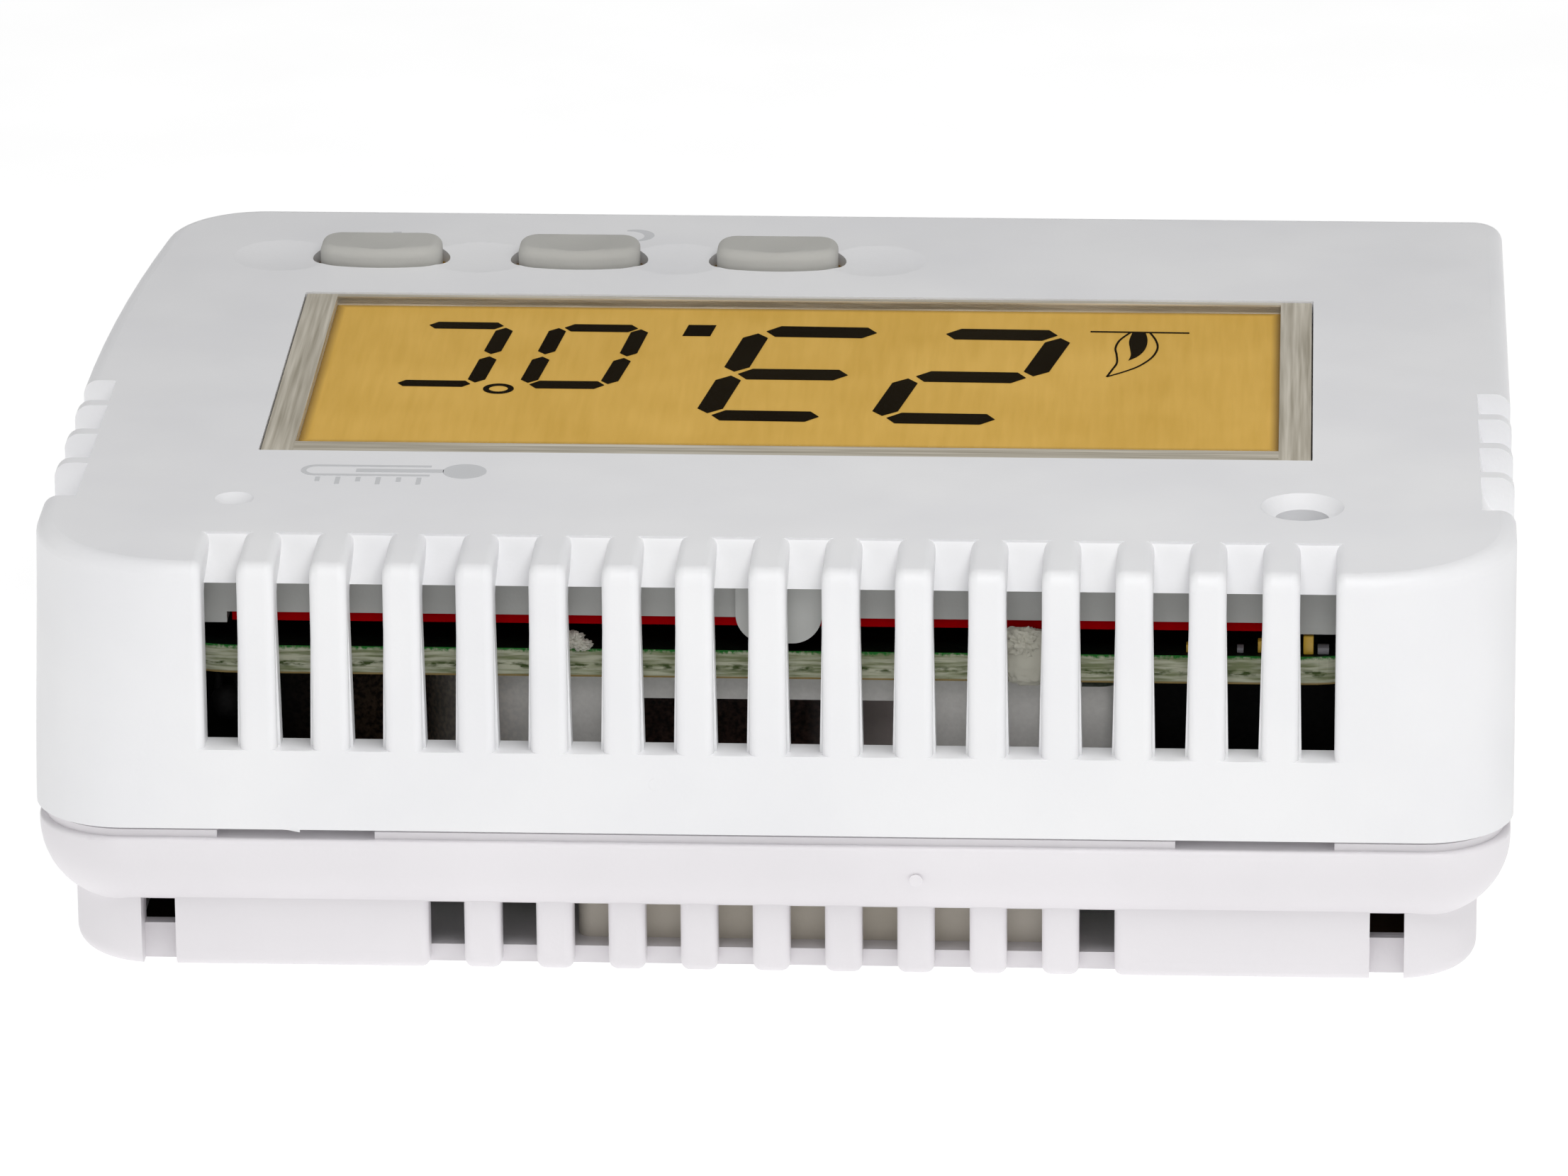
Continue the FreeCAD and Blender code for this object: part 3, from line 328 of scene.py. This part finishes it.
def connector_look():
    """Pale grey block with painted shade that turns it brown round its receding end and dark inside its
    window.
    """
    look = Look("connector_resin", roughness=0.6, Specular_IOR_Level=0.25)
    brown_starts, brown_ends = 13.5, 22.0
    window_back, window_half, window_top = 30.3, 9.5, 17.2
    dark_ends, pale_starts = -2.0, -8.0
    fine = look.grain(0.3, 3.0)
    grey = look.mix(look.ramp(fine, 0.3, 0.7), srgb(226, 224, 221), srgb(234, 232, 229))
    brown = look.mix(look.ramp(fine, 0.4, 0.6), srgb(66, 50, 38), srgb(126, 108, 88))
    # Painted shade: brown towards the receding end.
    end_shaded_brown = look.mix(look.ramp(look.axis("X"), brown_starts, brown_ends), grey, brown)
    # Painted shade: dark inside the window, fading to pale towards -X.
    inside = look.ramp(look.axis("Y"), window_back, window_back - 0.2)
    within = look.ramp(look.math("ABSOLUTE", look.axis("X")), window_half, window_half - 0.1)
    low = look.ramp(look.axis("Z"), window_top, window_top - 0.05)
    window_shade_mask = look.math("MULTIPLY", look.math("MULTIPLY", inside, within), low)
    dark = look.mix(look.ramp(fine, *MOST_NOISE), srgb(24, 15, 12), srgb(66, 48, 42))
    faded = look.mix(look.ramp(look.axis("X"), dark_ends, pale_starts), dark, srgb(196, 186, 184))
    look.feed("Base Color", look.mix(window_shade_mask, end_shaded_brown, faded))
    look.bump(fine, 0.02)
    return look


def shade_look():
    """Near-black painted shade, brownish towards the middle on the unit's right."""
    look = Look("painted_shade_black", roughness=0.7, Specular_IOR_Level=0.1)
    fine = look.grain(0.3, 3.0)
    black = look.mix(look.ramp(fine, *MOST_NOISE), srgb(8, 8, 8), srgb(14, 13, 13))
    brown = look.mix(look.ramp(fine, 0.4, 0.6), srgb(26, 17, 11), srgb(66, 52, 40))
    right_half = look.ramp(look.axis("X"), 0.0, 1.0)
    black_ends, brown_starts = 30.0, 23.0
    towards_middle = look.ramp(look.axis("X"), black_ends, brown_starts)
    look.feed("Base Color", look.mix(towards_middle, black, look.mix(right_half, black, brown)))
    look.bump(fine, 0.02)
    return look


looks = {
    "cover_plastic": plastic("cover_abs", srgb(236, 236, 238), srgb(241, 241, 242)),
    "base_plastic": plastic("base_abs", srgb(231, 228, 231), srgb(235, 232, 235)),
    "clear_window": pane_look(),
    "display_cell": display_look(),
    "grey_plastic": plastic("grey_abs", srgb(176, 177, 174), srgb(190, 191, 188), grain=0.2),
    "red_board": plastic(
        "red_laminate", srgb(156, 0, 6), srgb(172, 1, 10), (0.6, 0.7), 0.15, 0.006, Specular_IOR_Level=0.0
    ),
    "green_board": board_look(),
    "elastomer": plastic("grey_rubber", srgb(120, 118, 124), srgb(140, 138, 142), (0.6, 0.75), 0.2),
    "black_plastic": plastic("black_resin", srgb(20, 20, 21), srgb(28, 27, 27), (0.45, 0.6), 0.18, 0.01),
    "can_aluminium": metal(
        "brushed_can", srgb(190, 192, 196), srgb(214, 215, 218), (0.25, 0.4), 1.5, (1, 1, 0.1)
    ),
    "contact_brass": metal("plated_brass", srgb(205, 164, 84), srgb(224, 190, 112), (0.2, 0.35)),
    "screw_steel": metal("zinc_steel", srgb(170, 172, 176), srgb(200, 200, 203), (0.3, 0.45), 0.8),
    "adhesive": plastic("white_adhesive", srgb(184, 182, 168), srgb(214, 212, 202), (0.5, 0.65), 0.5, 0.06),
    "button_plastic": plastic(
        "button_abs",
        srgb(183, 182, 177),
        srgb(191, 190, 185),
        (0.55, 0.65),
        0.22,
        0.014,
        Specular_IOR_Level=0.1,
    ),
    "plunger_plastic": plastic("plunger_resin", srgb(140, 118, 60), srgb(158, 134, 70), (0.4, 0.5), 0.2),
    "terminal_plastic": plastic("terminal_resin", srgb(48, 92, 60), srgb(58, 104, 70), (0.4, 0.5), 0.3, 0.01),
    "bezel_plastic": bezel_look(),
}
shade = shade_look()
own_looks = {
    "transformer": coil_look(),
    "connector_housing": connector_look(),
    # Painted shade: the sensor takes the near-black shade look.
    "temperature_sensor": shade,
    "socket_carrier": plastic(
        "warm_grey", srgb(206, 199, 184), srgb(222, 216, 204), (0.55, 0.65), 0.4, 0.02
    ),
}
# Painted shade: brown pads behind the base's corner slots.
shade_pad_look = plastic(
    "brown_painted_shade", srgb(26, 14, 9), srgb(78, 56, 44), (0.8, 0.9), 2.2, 0.03, Specular_IOR_Level=0.1
)
gold_look = plastic("gilt_end", srgb(196, 152, 40), srgb(226, 190, 78), (0.35, 0.5), 0.3, 0.02)
seal_look = plastic("seal_rubber", srgb(70, 48, 8), srgb(150, 112, 26), (0.6, 0.7), 0.15, 0.004)
print_look = plastic("grey_print", srgb(206, 207, 209), srgb(213, 214, 216), (0.5, 0.6), 0.15, 0.004)
segment_look = plastic(
    "dark_segment", srgb(24, 18, 9), srgb(34, 28, 16), (0.6, 0.7), 0.2, 0.002, Specular_IOR_Level=0.0
)
solder_look = metal("solder", srgb(176, 178, 182), srgb(212, 213, 216), (0.15, 0.35), 0.5)
floor_look = plastic(
    "pale_floor",
    srgb(160, 160, 160),
    srgb(166, 166, 166),
    (0.8, 0.9),
    3.0,
    0.02,
    Specular_IOR_Level=0.0,
    Emission_Color=(1, 1, 1, 1),
    Emission_Strength=0.8,
)

slot_of = {subpart["node"]: subpart["material_slot"] for subpart in frame["record"]["subparts"]}
for node, item in frame["nodes"].items():
    chosen = own_looks.get(node, looks[slot_of[node]])
    for material_slot in item.material_slots:
        material_slot.material = chosen.material


# ---------------------------------------------------------------- mesh helpers


def keep(name, bm, look, body, smooth=True, angle=35):
    """A finished piece from bm, given in millimetres."""
    bmesh.ops.remove_doubles(bm, verts=bm.verts, dist=1e-5)
    bmesh.ops.recalc_face_normals(bm, faces=bm.faces)
    bmesh.ops.scale(bm, vec=(MM, MM, MM), verts=bm.verts)
    mesh = bpy.data.meshes.new(name)
    bm.to_mesh(mesh)
    bm.free()
    mesh.materials.append(look.material)
    item = bpy.data.objects.new(name, mesh)
    bpy.context.scene.collection.objects.link(item)
    if smooth:
        mesh.shade_smooth()
        mesh.set_sharp_from_angle(angle=math.radians(angle))
    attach(item, body)
    return item


def skin(bm, rings, around=False, ends=()):
    """Faces from each ring to the next, from the last to the first if around, and over the ends."""
    following = rings[1:] + rings[:1] if around else rings[1:]
    for here, there in zip(rings, following):
        for k in range(len(here)):
            after = (k + 1) % len(here)
            bm.faces.new((here[k], here[after], there[after], there[k]))
    for ring in ends:
        bm.faces.new(ring)


def prism(bm, outline, low, high):
    """A flat plate with this outline, between two heights."""
    rings = [[bm.verts.new((x, y, z)) for x, y in outline] for z in (low, high)]
    skin(bm, rings, ends=rings)


def smooth_line(points, steps=8):
    """Points along a Catmull-Rom curve through the given ones."""
    ends = [points[0]] + list(points) + [points[-1]]
    line = []
    for index in range(1, len(ends) - 2):
        a, b, c, d = [Vector(ends[index + k]) for k in (-1, 0, 1, 2)]
        for step in range(steps):
            t = step / steps
            square = (2 * a - 5 * b + 4 * c - d) * t * t
            cube = (3 * b - a - 3 * c + d) * t**3
            line.append(0.5 * (2 * b + (c - a) * t + square + cube))
    line.append(Vector(ends[-2]))
    return line


def stroke(bm, line, width, low, high, closed=False):
    """A drawn line of even width along the given points."""
    count = len(line)
    rings = []
    for index, point in enumerate(line):
        before = line[(index - 1) % count] if closed or index else point
        after = line[(index + 1) % count] if closed or index < count - 1 else point
        way = (after - before).normalized()
        side = Vector((-way.y, way.x)) * width / 2
        a, b = point + side, point - side
        rings.append([bm.verts.new((p.x, p.y, z)) for p, z in ((a, low), (b, low), (b, high), (a, high))])
    skin(bm, rings, around=closed, ends=() if closed else (rings[0], rings[-1]))


def circle(x, y, radius, count=40, start=0.0, turn=2 * math.pi):
    """Evenly spaced points round a circle, or along an arc of it without its last point."""
    angles = [start + turn * k / count for k in range(count)]
    return [Vector((x + radius * math.cos(angle), y + radius * math.sin(angle))) for angle in angles]


# ---------------------------------------------------------------- display

INK = (CELL_HIGH.z + 0.02, CELL_HIGH.z + 0.05)


def bar(bm, tip_a, tip_b, thick, lean):
    """A horizontal segment with a point at each end."""
    (xa, ya), (xb, yb) = tip_a, tip_b
    half, nose = thick / 2, 0.72 * thick / 2
    tilt = lean * half
    outline = [
        (xa, ya),
        (xa + nose - tilt, ya - half),
        (xb - nose - tilt, yb - half),
        (xb, yb),
        (xb - nose + tilt, yb + half),
        (xa + nose + tilt, ya + half),
    ]
    prism(bm, outline, *INK)


def upright(bm, top, foot, thick):
    """A leaning segment with a point at each end."""
    (xt, yt), (xf, yf) = top, foot
    lean = (xt - xf) / (yt - yf)
    half, nose = thick / 2, 1.12 * thick / 2
    outline = [
        (xt, yt),
        (xt - nose * lean - half, yt - nose),
        (xf + nose * lean - half, yf + nose),
        (xf, yf),
        (xf + nose * lean + half, yf + nose),
        (xt - nose * lean + half, yt - nose),
    ]
    prism(bm, outline, *INK)


# One row for each bar: its left tip, its right tip, its thickness and its lean.
LARGE_BARS = [
    ((-12.73, 4.73), (-5.95, 4.64), 2.0, 0.19),
    ((-14.45, -3.45), (-7.49, -3.55), 2.05, 0.19),
    ((-16.24, -12.0), (-9.1, -12.1), 2.1, 0.19),
    ((-1.69, 4.55), (5.04, 4.45), 1.93, 0.15),
    ((-3.15, -3.64), (3.82, -3.67), 2.05, 0.15),
    ((-4.64, -12.15), (2.45, -12.27), 2.1, 0.15),
]
# One row for each upright: its top and its foot.
LARGE_UPRIGHTS = [
    ((-5.64, 4.22), (-7.0, -3.09)),
    ((-14.9, -3.82), (-16.45, -11.45)),
    ((5.33, 4.04), (4.24, -3.3)),
    ((4.09, -4.15), (2.96, -11.8)),
]
SMALL_BARS = [
    ((12.16, -1.19), (16.9, -1.19), 1.45, 0.11),
    ((10.74, -12.58), (15.45, -12.61), 1.42, 0.11),
    ((20.66, -1.19), (25.26, -1.24), 1.15, 0.11),
    ((19.42, -12.85), (24.2, -12.89), 1.3, 0.11),
]
SMALL_UPRIGHTS = [
    ((11.95, -1.45), (11.26, -6.6)),
    ((17.03, -1.53), (16.47, -6.7)),
    ((11.1, -7.0), (10.53, -12.4)),
    ((16.35, -7.24), (15.82, -12.5)),
    ((20.39, -1.5), (19.85, -6.65)),
    ((19.8, -7.18), (19.24, -12.45)),
]
POINT = [(6.02, -11.2), (7.8, -11.2), (7.52, -13.4), (5.74, -13.4)]
RING_PLACE, RING_RADIUS, RING_LINE = (18.8, -0.3), 0.79, 0.37
LARGE_THICK, SMALL_THICK = 1.6, 1.1


def digits():
    """Two large digits, a point, a small digit, a degree ring and a letter C."""
    bm = bmesh.new()
    for tip_a, tip_b, thick, lean in LARGE_BARS + SMALL_BARS:
        bar(bm, tip_a, tip_b, thick, lean)
    for top, foot in LARGE_UPRIGHTS:
        upright(bm, top, foot, LARGE_THICK)
    for top, foot in SMALL_UPRIGHTS:
        upright(bm, top, foot, SMALL_THICK)
    prism(bm, POINT, *INK)
    stroke(bm, circle(*RING_PLACE, RING_RADIUS), RING_LINE, *INK, closed=True)
    keep("display_digits", bm, segment_look, "front_module", smooth=False)


def flame():
    """Heating symbol: a flame outline with a solid core, on a ground line."""
    bm = bmesh.new()
    outline, ground = 0.13, 0.2
    left = [(-22.15, -12.78), (-22.55, -11.2), (-22.68, -9.6), (-22.36, -7.8), (-21.6, -6.1), (-20.7, -4.95)]
    tip = [(-19.56, -3.85)]
    right = [(-19.86, -5.2), (-20.14, -6.6), (-20.1, -8.2), (-20.0, -9.6), (-20.25, -11.2), (-20.9, -12.78)]
    stroke(bm, smooth_line(left + tip), outline, *INK)
    stroke(bm, smooth_line(tip + right), outline, *INK)
    core = [(-21.87, -12.73), (-22.02, -11.2), (-21.9, -9.5), (-21.5, -8.1), (-20.87, -7.13)]
    back = [(-21.0, -8.2), (-20.92, -9.6), (-20.84, -11.0), (-21.02, -12.73)]
    prism(bm, smooth_line(core)[:-1] + smooth_line(core[-1:] + back), *INK)
    stroke(bm, [Vector((-24.67, -12.76)), Vector((-18.33, -12.86))], ground, *INK)
    keep("display_flame", bm, segment_look, "front_module", smooth=False)


digits()
flame()

# ---------------------------------------------------------------- printed marks

PRINT = (COVER_HIGH.z + 0.002, COVER_HIGH.z + 0.014)


def print_mark(name, bm):
    keep(name, bm, print_look, "front_module", smooth=False)


def plus_mark():
    """A plus sign: one long bar, and two short ones that meet it."""
    bm = bmesh.new()
    centre = Vector((27.75, -28.8))
    reach, width = 1.5, 0.55
    stroke(bm, [centre - Vector((reach, 0)), centre + Vector((reach, 0))], width, *PRINT)
    for side in (-1, 1):
        ends = [centre + Vector((0, side * reach)), centre + Vector((0, side * width / 2))]
        stroke(bm, ends, width, *PRINT)
    print_mark("mark_plus", bm)


def moon_mark():
    """A crescent between two arcs that meet at its tips."""
    bm = bmesh.new()
    outer = circle(12.0, -29.95, 1.25, start=math.radians(60), turn=math.radians(245))
    inner = circle(12.46, -29.78, 1.06, start=math.radians(278), turn=math.radians(-206))
    prism(bm, outer + inner, *PRINT)
    print_mark("mark_moon", bm)


def menu_mark():
    """Three lines."""
    bm = bmesh.new()
    left, right, middle, pitch, width = 0.9, 3.9, -28.9, 0.75, 0.32
    for step in (-1, 0, 1):
        y = middle + pitch * step
        stroke(bm, [Vector((left, y)), Vector((right, y))], width, *PRINT)
    print_mark("mark_menu", bm)


def thermometer_mark():
    """A bulb, a tube with its column, and six scale lines of two lengths."""
    bm = bmesh.new()
    y, bulb_x, bulb_radius = 17.6, 19.5, 1.35
    prism(bm, circle(bulb_x, y, bulb_radius), *PRINT)
    tube_start, tube_end, tube_radius, tube_line = 21.6, 28.6, 0.85, 0.34
    cap = circle(tube_end, y, tube_radius, 20, math.radians(-90), math.radians(180))
    low, high = Vector((tube_start, y - tube_radius)), Vector((tube_start, y + tube_radius))
    stroke(bm, [low] + cap + [high], tube_line, *PRINT)
    column_start, column_end, column_width = 20.8, 26.2, 0.62
    stroke(bm, [Vector((column_start, y)), Vector((column_end, y))], column_width, *PRINT)
    scale_start, scale_pitch, scale_gap, scale_line = 22.2, 1.25, 1.25, 0.3
    for step in range(6):
        x = scale_start + scale_pitch * step
        reach = 1.3 if step % 2 == 0 else 0.8
        foot = Vector((x, y + scale_gap))
        stroke(bm, [foot, foot + Vector((0, reach))], scale_line, *PRINT)
    print_mark("mark_thermometer", bm)


plus_mark()
moon_mark()
menu_mark()
thermometer_mark()

# ---------------------------------------------------------------- boards and their parts


def block(bm, low, high, bevel):
    """A small bevelled body between two corners."""
    size = Vector(high) - Vector(low)
    middle = (Vector(low) + Vector(high)) / 2
    made = bmesh.ops.create_cube(bm, size=1.0)["verts"]
    bmesh.ops.transform(bm, matrix=Matrix.Translation(middle) @ Matrix.Diagonal(size).to_4x4(), verts=made)
    edges = {edge for vert in made for edge in vert.link_edges}
    bmesh.ops.bevel(bm, geom=list(edges), offset=bevel, segments=2, profile=0.5, affect="EDGES")


def drop(bm, x, y, low, high, radius, rings=5, count=14):
    """A solder joint: a concave cone with a rounded tip."""
    loops = []
    for ring in range(rings):
        share = ring / rings
        around = radius * (1 - share) ** 1.6 + radius * 0.28 * (1 - share**6)
        z = low + (high - low) * share
        loops.append([bm.verts.new((p.x, p.y, z)) for p in circle(x, y, around, count)])
    skin(bm, loops, ends=loops[:1])
    tip = bm.verts.new((x, y, high))
    for k in range(count):
        bm.faces.new((loops[-1][k], loops[-1][(k + 1) % count], tip))


# One row for each chip: x, y, width and height.
PALE_CHIPS = ((-33.35, 31.0, 0.7, 0.42), (-28.35, 30.9, 0.4, 0.3), (-6.0, 24.4, 1.6, 0.6))
PLATED_CHIPS = ((-32.45, 31.1, 0.62, 1.15), (-29.6, 30.9, 0.4, 0.75), (-25.3, 31.0, 0.42, 0.5))


def chips():
    """Small parts on the main board, near its upper edge."""
    low = BOARD_HIGH.z + 0.005
    for name, rows, half, bevel, look, slot in (
        ("chip_bodies", PALE_CHIPS, 0.4, 0.05, looks["elastomer"], "elastomer"),
        ("chip_ends", PLATED_CHIPS, 0.35, 0.06, gold_look, "contact_brass"),
    ):
        bm = bmesh.new()
        for x, y, width, tall in rows:
            block(bm, (x - width / 2, y - half, low), (x + width / 2, y + half, low + tall), bevel)
        keep(name, bm, look, "front_module")


def shades():
    """Two blocks of painted shade under the board, one at each end of the vents."""
    bm = bmesh.new()
    near_y, far_y, foot, bevel = 25.0, 29.8, 11.9, 0.5
    for low_x, high_x in ((-37.5, -21.9), (22.6, 34.9)):
        block(bm, (low_x, near_y, foot), (high_x, far_y, BOARD_LOW.z - 0.05), bevel)
    keep("board_shades", bm, shade, "front_module")


def painted_shade_pads():
    """Thin brown pads of painted shade on the base's floor, behind its corner slots."""
    bm = bmesh.new()
    near_y, far_y, foot, top, bevel = 25.5, 30.2, 1.12, 1.6, 0.1
    for low_x, high_x in ((-38.8, -36.0), (36.0, 38.8)):
        block(bm, (low_x, near_y, foot), (high_x, far_y, top), bevel)
    keep("corner_pad_shade", bm, shade_pad_look, "base")


SWITCH_PINS = {"side": 3.6, "upper": -22.4, "lower": -27.6}
GLASS_PINS = {"first": -27.5, "pitch": 5, "count": 12, "row": -17.8}
RELAY_PINS = [(36.5, -8), (36.5, 4), (36.5, -2), (14.5, 2.0), (14.5, -6.0), (11.0, 14.0), (-12.0, 12.0)]
OTHER_PINS = [(-25.5, 12.0), (-14.5, -2.0), (20.0, 12.5), (27.0, 12.5), (5.0, 18.0), (-5.0, 18.0)]
JOINT_RADIUS, JOINT_HEIGHT = 0.75, 0.9


def joints():
    """Solder joints on the board's underside, under the parts that pass through it."""
    columns = [29.2]
    for middle in BUTTONS.values():
        columns += [middle.x - SWITCH_PINS["side"], middle.x + SWITCH_PINS["side"]]
    places = [(x, SWITCH_PINS[row]) for x in columns for row in ("upper", "lower")]
    for step in range(GLASS_PINS["count"]):
        places.append((GLASS_PINS["first"] + GLASS_PINS["pitch"] * step, GLASS_PINS["row"]))
    bm = bmesh.new()
    for x, y in places + RELAY_PINS + OTHER_PINS:
        drop(bm, x, y, BOARD_LOW.z + 0.001, BOARD_LOW.z - JOINT_HEIGHT, JOINT_RADIUS)
    keep("solder_joints", bm, solder_look, "front_module")


# One row for each bead: centre, half sizes, squareness (1 is round), raggedness, place in the noise.
BEADS = (
    ((12.1, 31.3, 20.95), (0.9, 0.8, 0.5), 1.0, 0.3, 3),
    ((11.4, 31.5, 20.75), (0.6, 0.6, 0.3), 1.0, 0.3, 5),
    ((-15.2, 31.1, 21.2), (1.5, 1.0, 0.95), 0.7, 0.25, 8),
    ((-15.5, 31.7, 20.35), (1.45, 0.42, 1.72), 0.6, 0.16, 12),
    ((-15.2, 31.9, 21.3), (1.1, 0.35, 0.8), 1.0, 0.4, 17),
)
UNDER_RED = {"y": RED_HIGH.y + 0.1, "z": RED_LOW.z - 0.04}


def lumps():
    """Beads of pale adhesive squeezed over the board's upper edge, flat under the red board."""
    bm = bmesh.new()
    for centre, size, power, rough, seed in BEADS:
        made = bmesh.ops.create_icosphere(bm, subdivisions=5, radius=1.0)["verts"]
        for vert in made:
            shift = noise.fractal(vert.co * 3.0 + Vector((seed, 0, 0)), 0.7, 2.0, 5)
            swell = vert.co * (1 + rough * shift)
            swell = Vector([math.copysign(abs(value) ** power, value) for value in swell])
            vert.co = swell * Vector(size) + Vector(centre)
            if vert.co.y < UNDER_RED["y"]:
                vert.co.z = min(vert.co.z, UNDER_RED["z"])
    item = keep("adhesive_lumps", bm, looks["adhesive"], "front_module", angle=60)
    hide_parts("adhesive_blobs")


CAP_X, CAP_Y = 3.95, 2.15
CAP_HALF = [
    (0.0, -CAP_Y),
    (2.65, -CAP_Y),
    (3.25, -2.01),
    (3.75, -1.53),
    (CAP_X, -0.85),
    (CAP_X, 0.2),
    (3.83, 0.85),
    (3.4, 1.4),
    (2.5, 1.83),
    (1.25, 2.08),
    (0.0, CAP_Y),
]
COLLAR_LOW, COLLAR_HIGH = COVER_HIGH.z - 1.2, COVER_HIGH.z - 0.85
COLLAR_IN, COLLAR_OUT = (-0.02, -0.02), (0.45, 0.22)


def seals():
    """A thin rubber collar round each cap, a little below the face."""
    whole = CAP_HALF + [(-px, py) for px, py in reversed(CAP_HALF[1:-1])]
    for word, middle in BUTTONS.items():
        bm = bmesh.new()
        rings = []
        for (grow_x, grow_y), z in (
            (COLLAR_IN, COLLAR_LOW),
            (COLLAR_OUT, COLLAR_LOW),
            (COLLAR_OUT, COLLAR_HIGH),
            (COLLAR_IN, COLLAR_HIGH),
        ):
            ring = []
            for px, py in whole:
                x = middle.x + px * (1 + grow_x / CAP_X)
                y = middle.y + py * (1 + grow_y / CAP_Y)
                ring.append(bm.verts.new((x, y, z)))
            rings.append(ring)
        skin(bm, rings, around=True)
        keep(f"seal_{word}", bm, seal_look, f"button_{word}_body")


# One row for each sliver: where it starts, where it ends and where it hangs lowest.
SLIVERS = ((24.2, 26.9, 28.4), (30.9, 28.4, 27.9))
SLIVER_Y = (COVER_HIGH.y - 0.06, COVER_HIGH.y - 0.18)
SLIVER_ROOT, SLIVER_EDGE, SLIVER_LEAST = COVER_LOW.z + 0.06, COVER_LOW.z + 0.02, 0.01
SLIVER_SAG, SLIVER_SPREAD, SLIVER_RAGGED = 0.26, 1.1, 0.03


def flash():
    """Ragged slivers left on the cover's lower edge over one release window."""
    bm = bmesh.new()
    steps = 10
    for start, end, lowest in SLIVERS:
        rings = []
        for step in range(steps + 1):
            x = start + (end - start) * step / steps
            sag = SLIVER_SAG * math.exp(-(((x - lowest) / SLIVER_SPREAD) ** 2))
            sag += SLIVER_RAGGED * noise.noise(Vector((x * 3, 0, 0)))
            low = SLIVER_EDGE - max(sag, SLIVER_LEAST)
            front, back = SLIVER_Y
            corners = ((front, low), (back, low), (back, SLIVER_ROOT), (front, SLIVER_ROOT))
            rings.append([bm.verts.new((x, y, z)) for y, z in corners])
        skin(bm, rings, ends=(rings[0], rings[-1]))
    keep("cover_flash", bm, looks["cover_plastic"], "front_module")


# A gate mark's rings: share of its radius, and height over the wall.
GATE_RINGS = ((1.0, -0.05), (1.0, 0.006), (0.88, 0.02), (0.7, 0.012), (0.05, 0.012))


def gate_marks():
    """Faint round marks where the mould was filled."""
    for name, place, radius, body, slot in (
        ("cover_gate", (6.8, COVER_HIGH.y, 13.2), 0.42, "front_module", "cover_plastic"),
        ("belly_gate", (-8.9, BASE_HIGH.y, 7.1), 0.4, "base", "base_plastic"),
    ):
        bm = bmesh.new()
        x, y, z = place
        loops = []
        for share, rise in GATE_RINGS:
            ring = circle(0, 0, radius * share, 24)
            loops.append([bm.verts.new((x + p.x, y + rise, z + p.y)) for p in ring])
        skin(bm, loops, ends=(loops[0], loops[-1]))
        keep(name, bm, looks[slot], body)


chips()
shades()
painted_shade_pads()
joints()
lumps()
seals()
flash()
gate_marks()

# ---------------------------------------------------------------- floor, camera and lights


def floor():
    """A wide disc a hair below the thermostat's rear face."""
    bm = bmesh.new()
    bmesh.ops.create_circle(bm, cap_ends=True, segments=96, radius=2500 * MM)
    mesh = bpy.data.meshes.new("floor")
    bm.to_mesh(mesh)
    bm.free()
    mesh.materials.append(floor_look.material)
    item = bpy.data.objects.new("floor", mesh)
    item.location = (0, 0, -0.05 * MM)
    bpy.context.scene.collection.objects.link(item)


def camera():
    """Long lens, 20 degrees above the table, looking at the thermostat's upper edge."""
    data = bpy.data.cameras.new("camera")
    data.sensor_width = 36.0
    data.lens = 235.99
    data.clip_start, data.clip_end = 0.01, 20.0
    item = bpy.data.objects.new("camera", data)
    place = Vector((-31.396, 613.239, 234.546))
    right = Vector((-0.99872, -0.05013, -0.00637))
    up = Vector((0.01102, -0.33903, 0.94071))
    ahead = Vector((0.04932, -0.93944, -0.33915))
    turn = Matrix((right, up, -ahead)).transposed().to_4x4()
    item.matrix_world = Matrix.Translation(place * MM) @ turn
    bpy.context.scene.collection.objects.link(item)
    bpy.context.scene.camera = item


def softbox(name, place, aim, size, watts):
    """An area light; place, aim and size are in metres."""
    data = bpy.data.lights.new(name, "AREA")
    data.shape = "RECTANGLE"
    data.size, data.size_y = size
    data.energy = watts
    item = bpy.data.objects.new(name, data)
    item.location = place
    item.rotation_euler = (Vector(aim) - Vector(place)).to_track_quat("-Z", "Y").to_euler()
    bpy.context.scene.collection.objects.link(item)


def lighting():
    """An even white room, with a light at each side, two in front and one far above."""
    world = bpy.data.worlds.new("studio")
    world.use_nodes = True
    background = world.node_tree.nodes["Background"]
    background.inputs["Color"].default_value = (1, 1, 1, 1)
    background.inputs["Strength"].default_value = 0.31
    bpy.context.scene.world = world
    softbox("near_box", place=(-0.06, 0.15, 0.27), aim=(0, 0, 0.02), size=(0.26, 0.18), watts=0.5)
    softbox("front_box", place=(-0.15, 0.62, 0.3), aim=(0, 0, 0.01), size=(0.7, 0.4), watts=0.2)
    softbox("over_box", place=(0.05, 0.15, 0.9), aim=(0, 0, 0), size=(0.8, 0.8), watts=0.25)
    softbox("left_box", place=(0.5, 0.18, 0.11), aim=(0, 0, 0.01), size=(0.3, 0.2), watts=0.34)
    softbox("right_box", place=(-0.5, 0.18, 0.11), aim=(0, 0, 0.01), size=(0.3, 0.2), watts=0.22)
    view = bpy.context.scene.view_settings
    view.view_transform = "Standard"
    view.look = "None"


floor()
camera()
lighting()
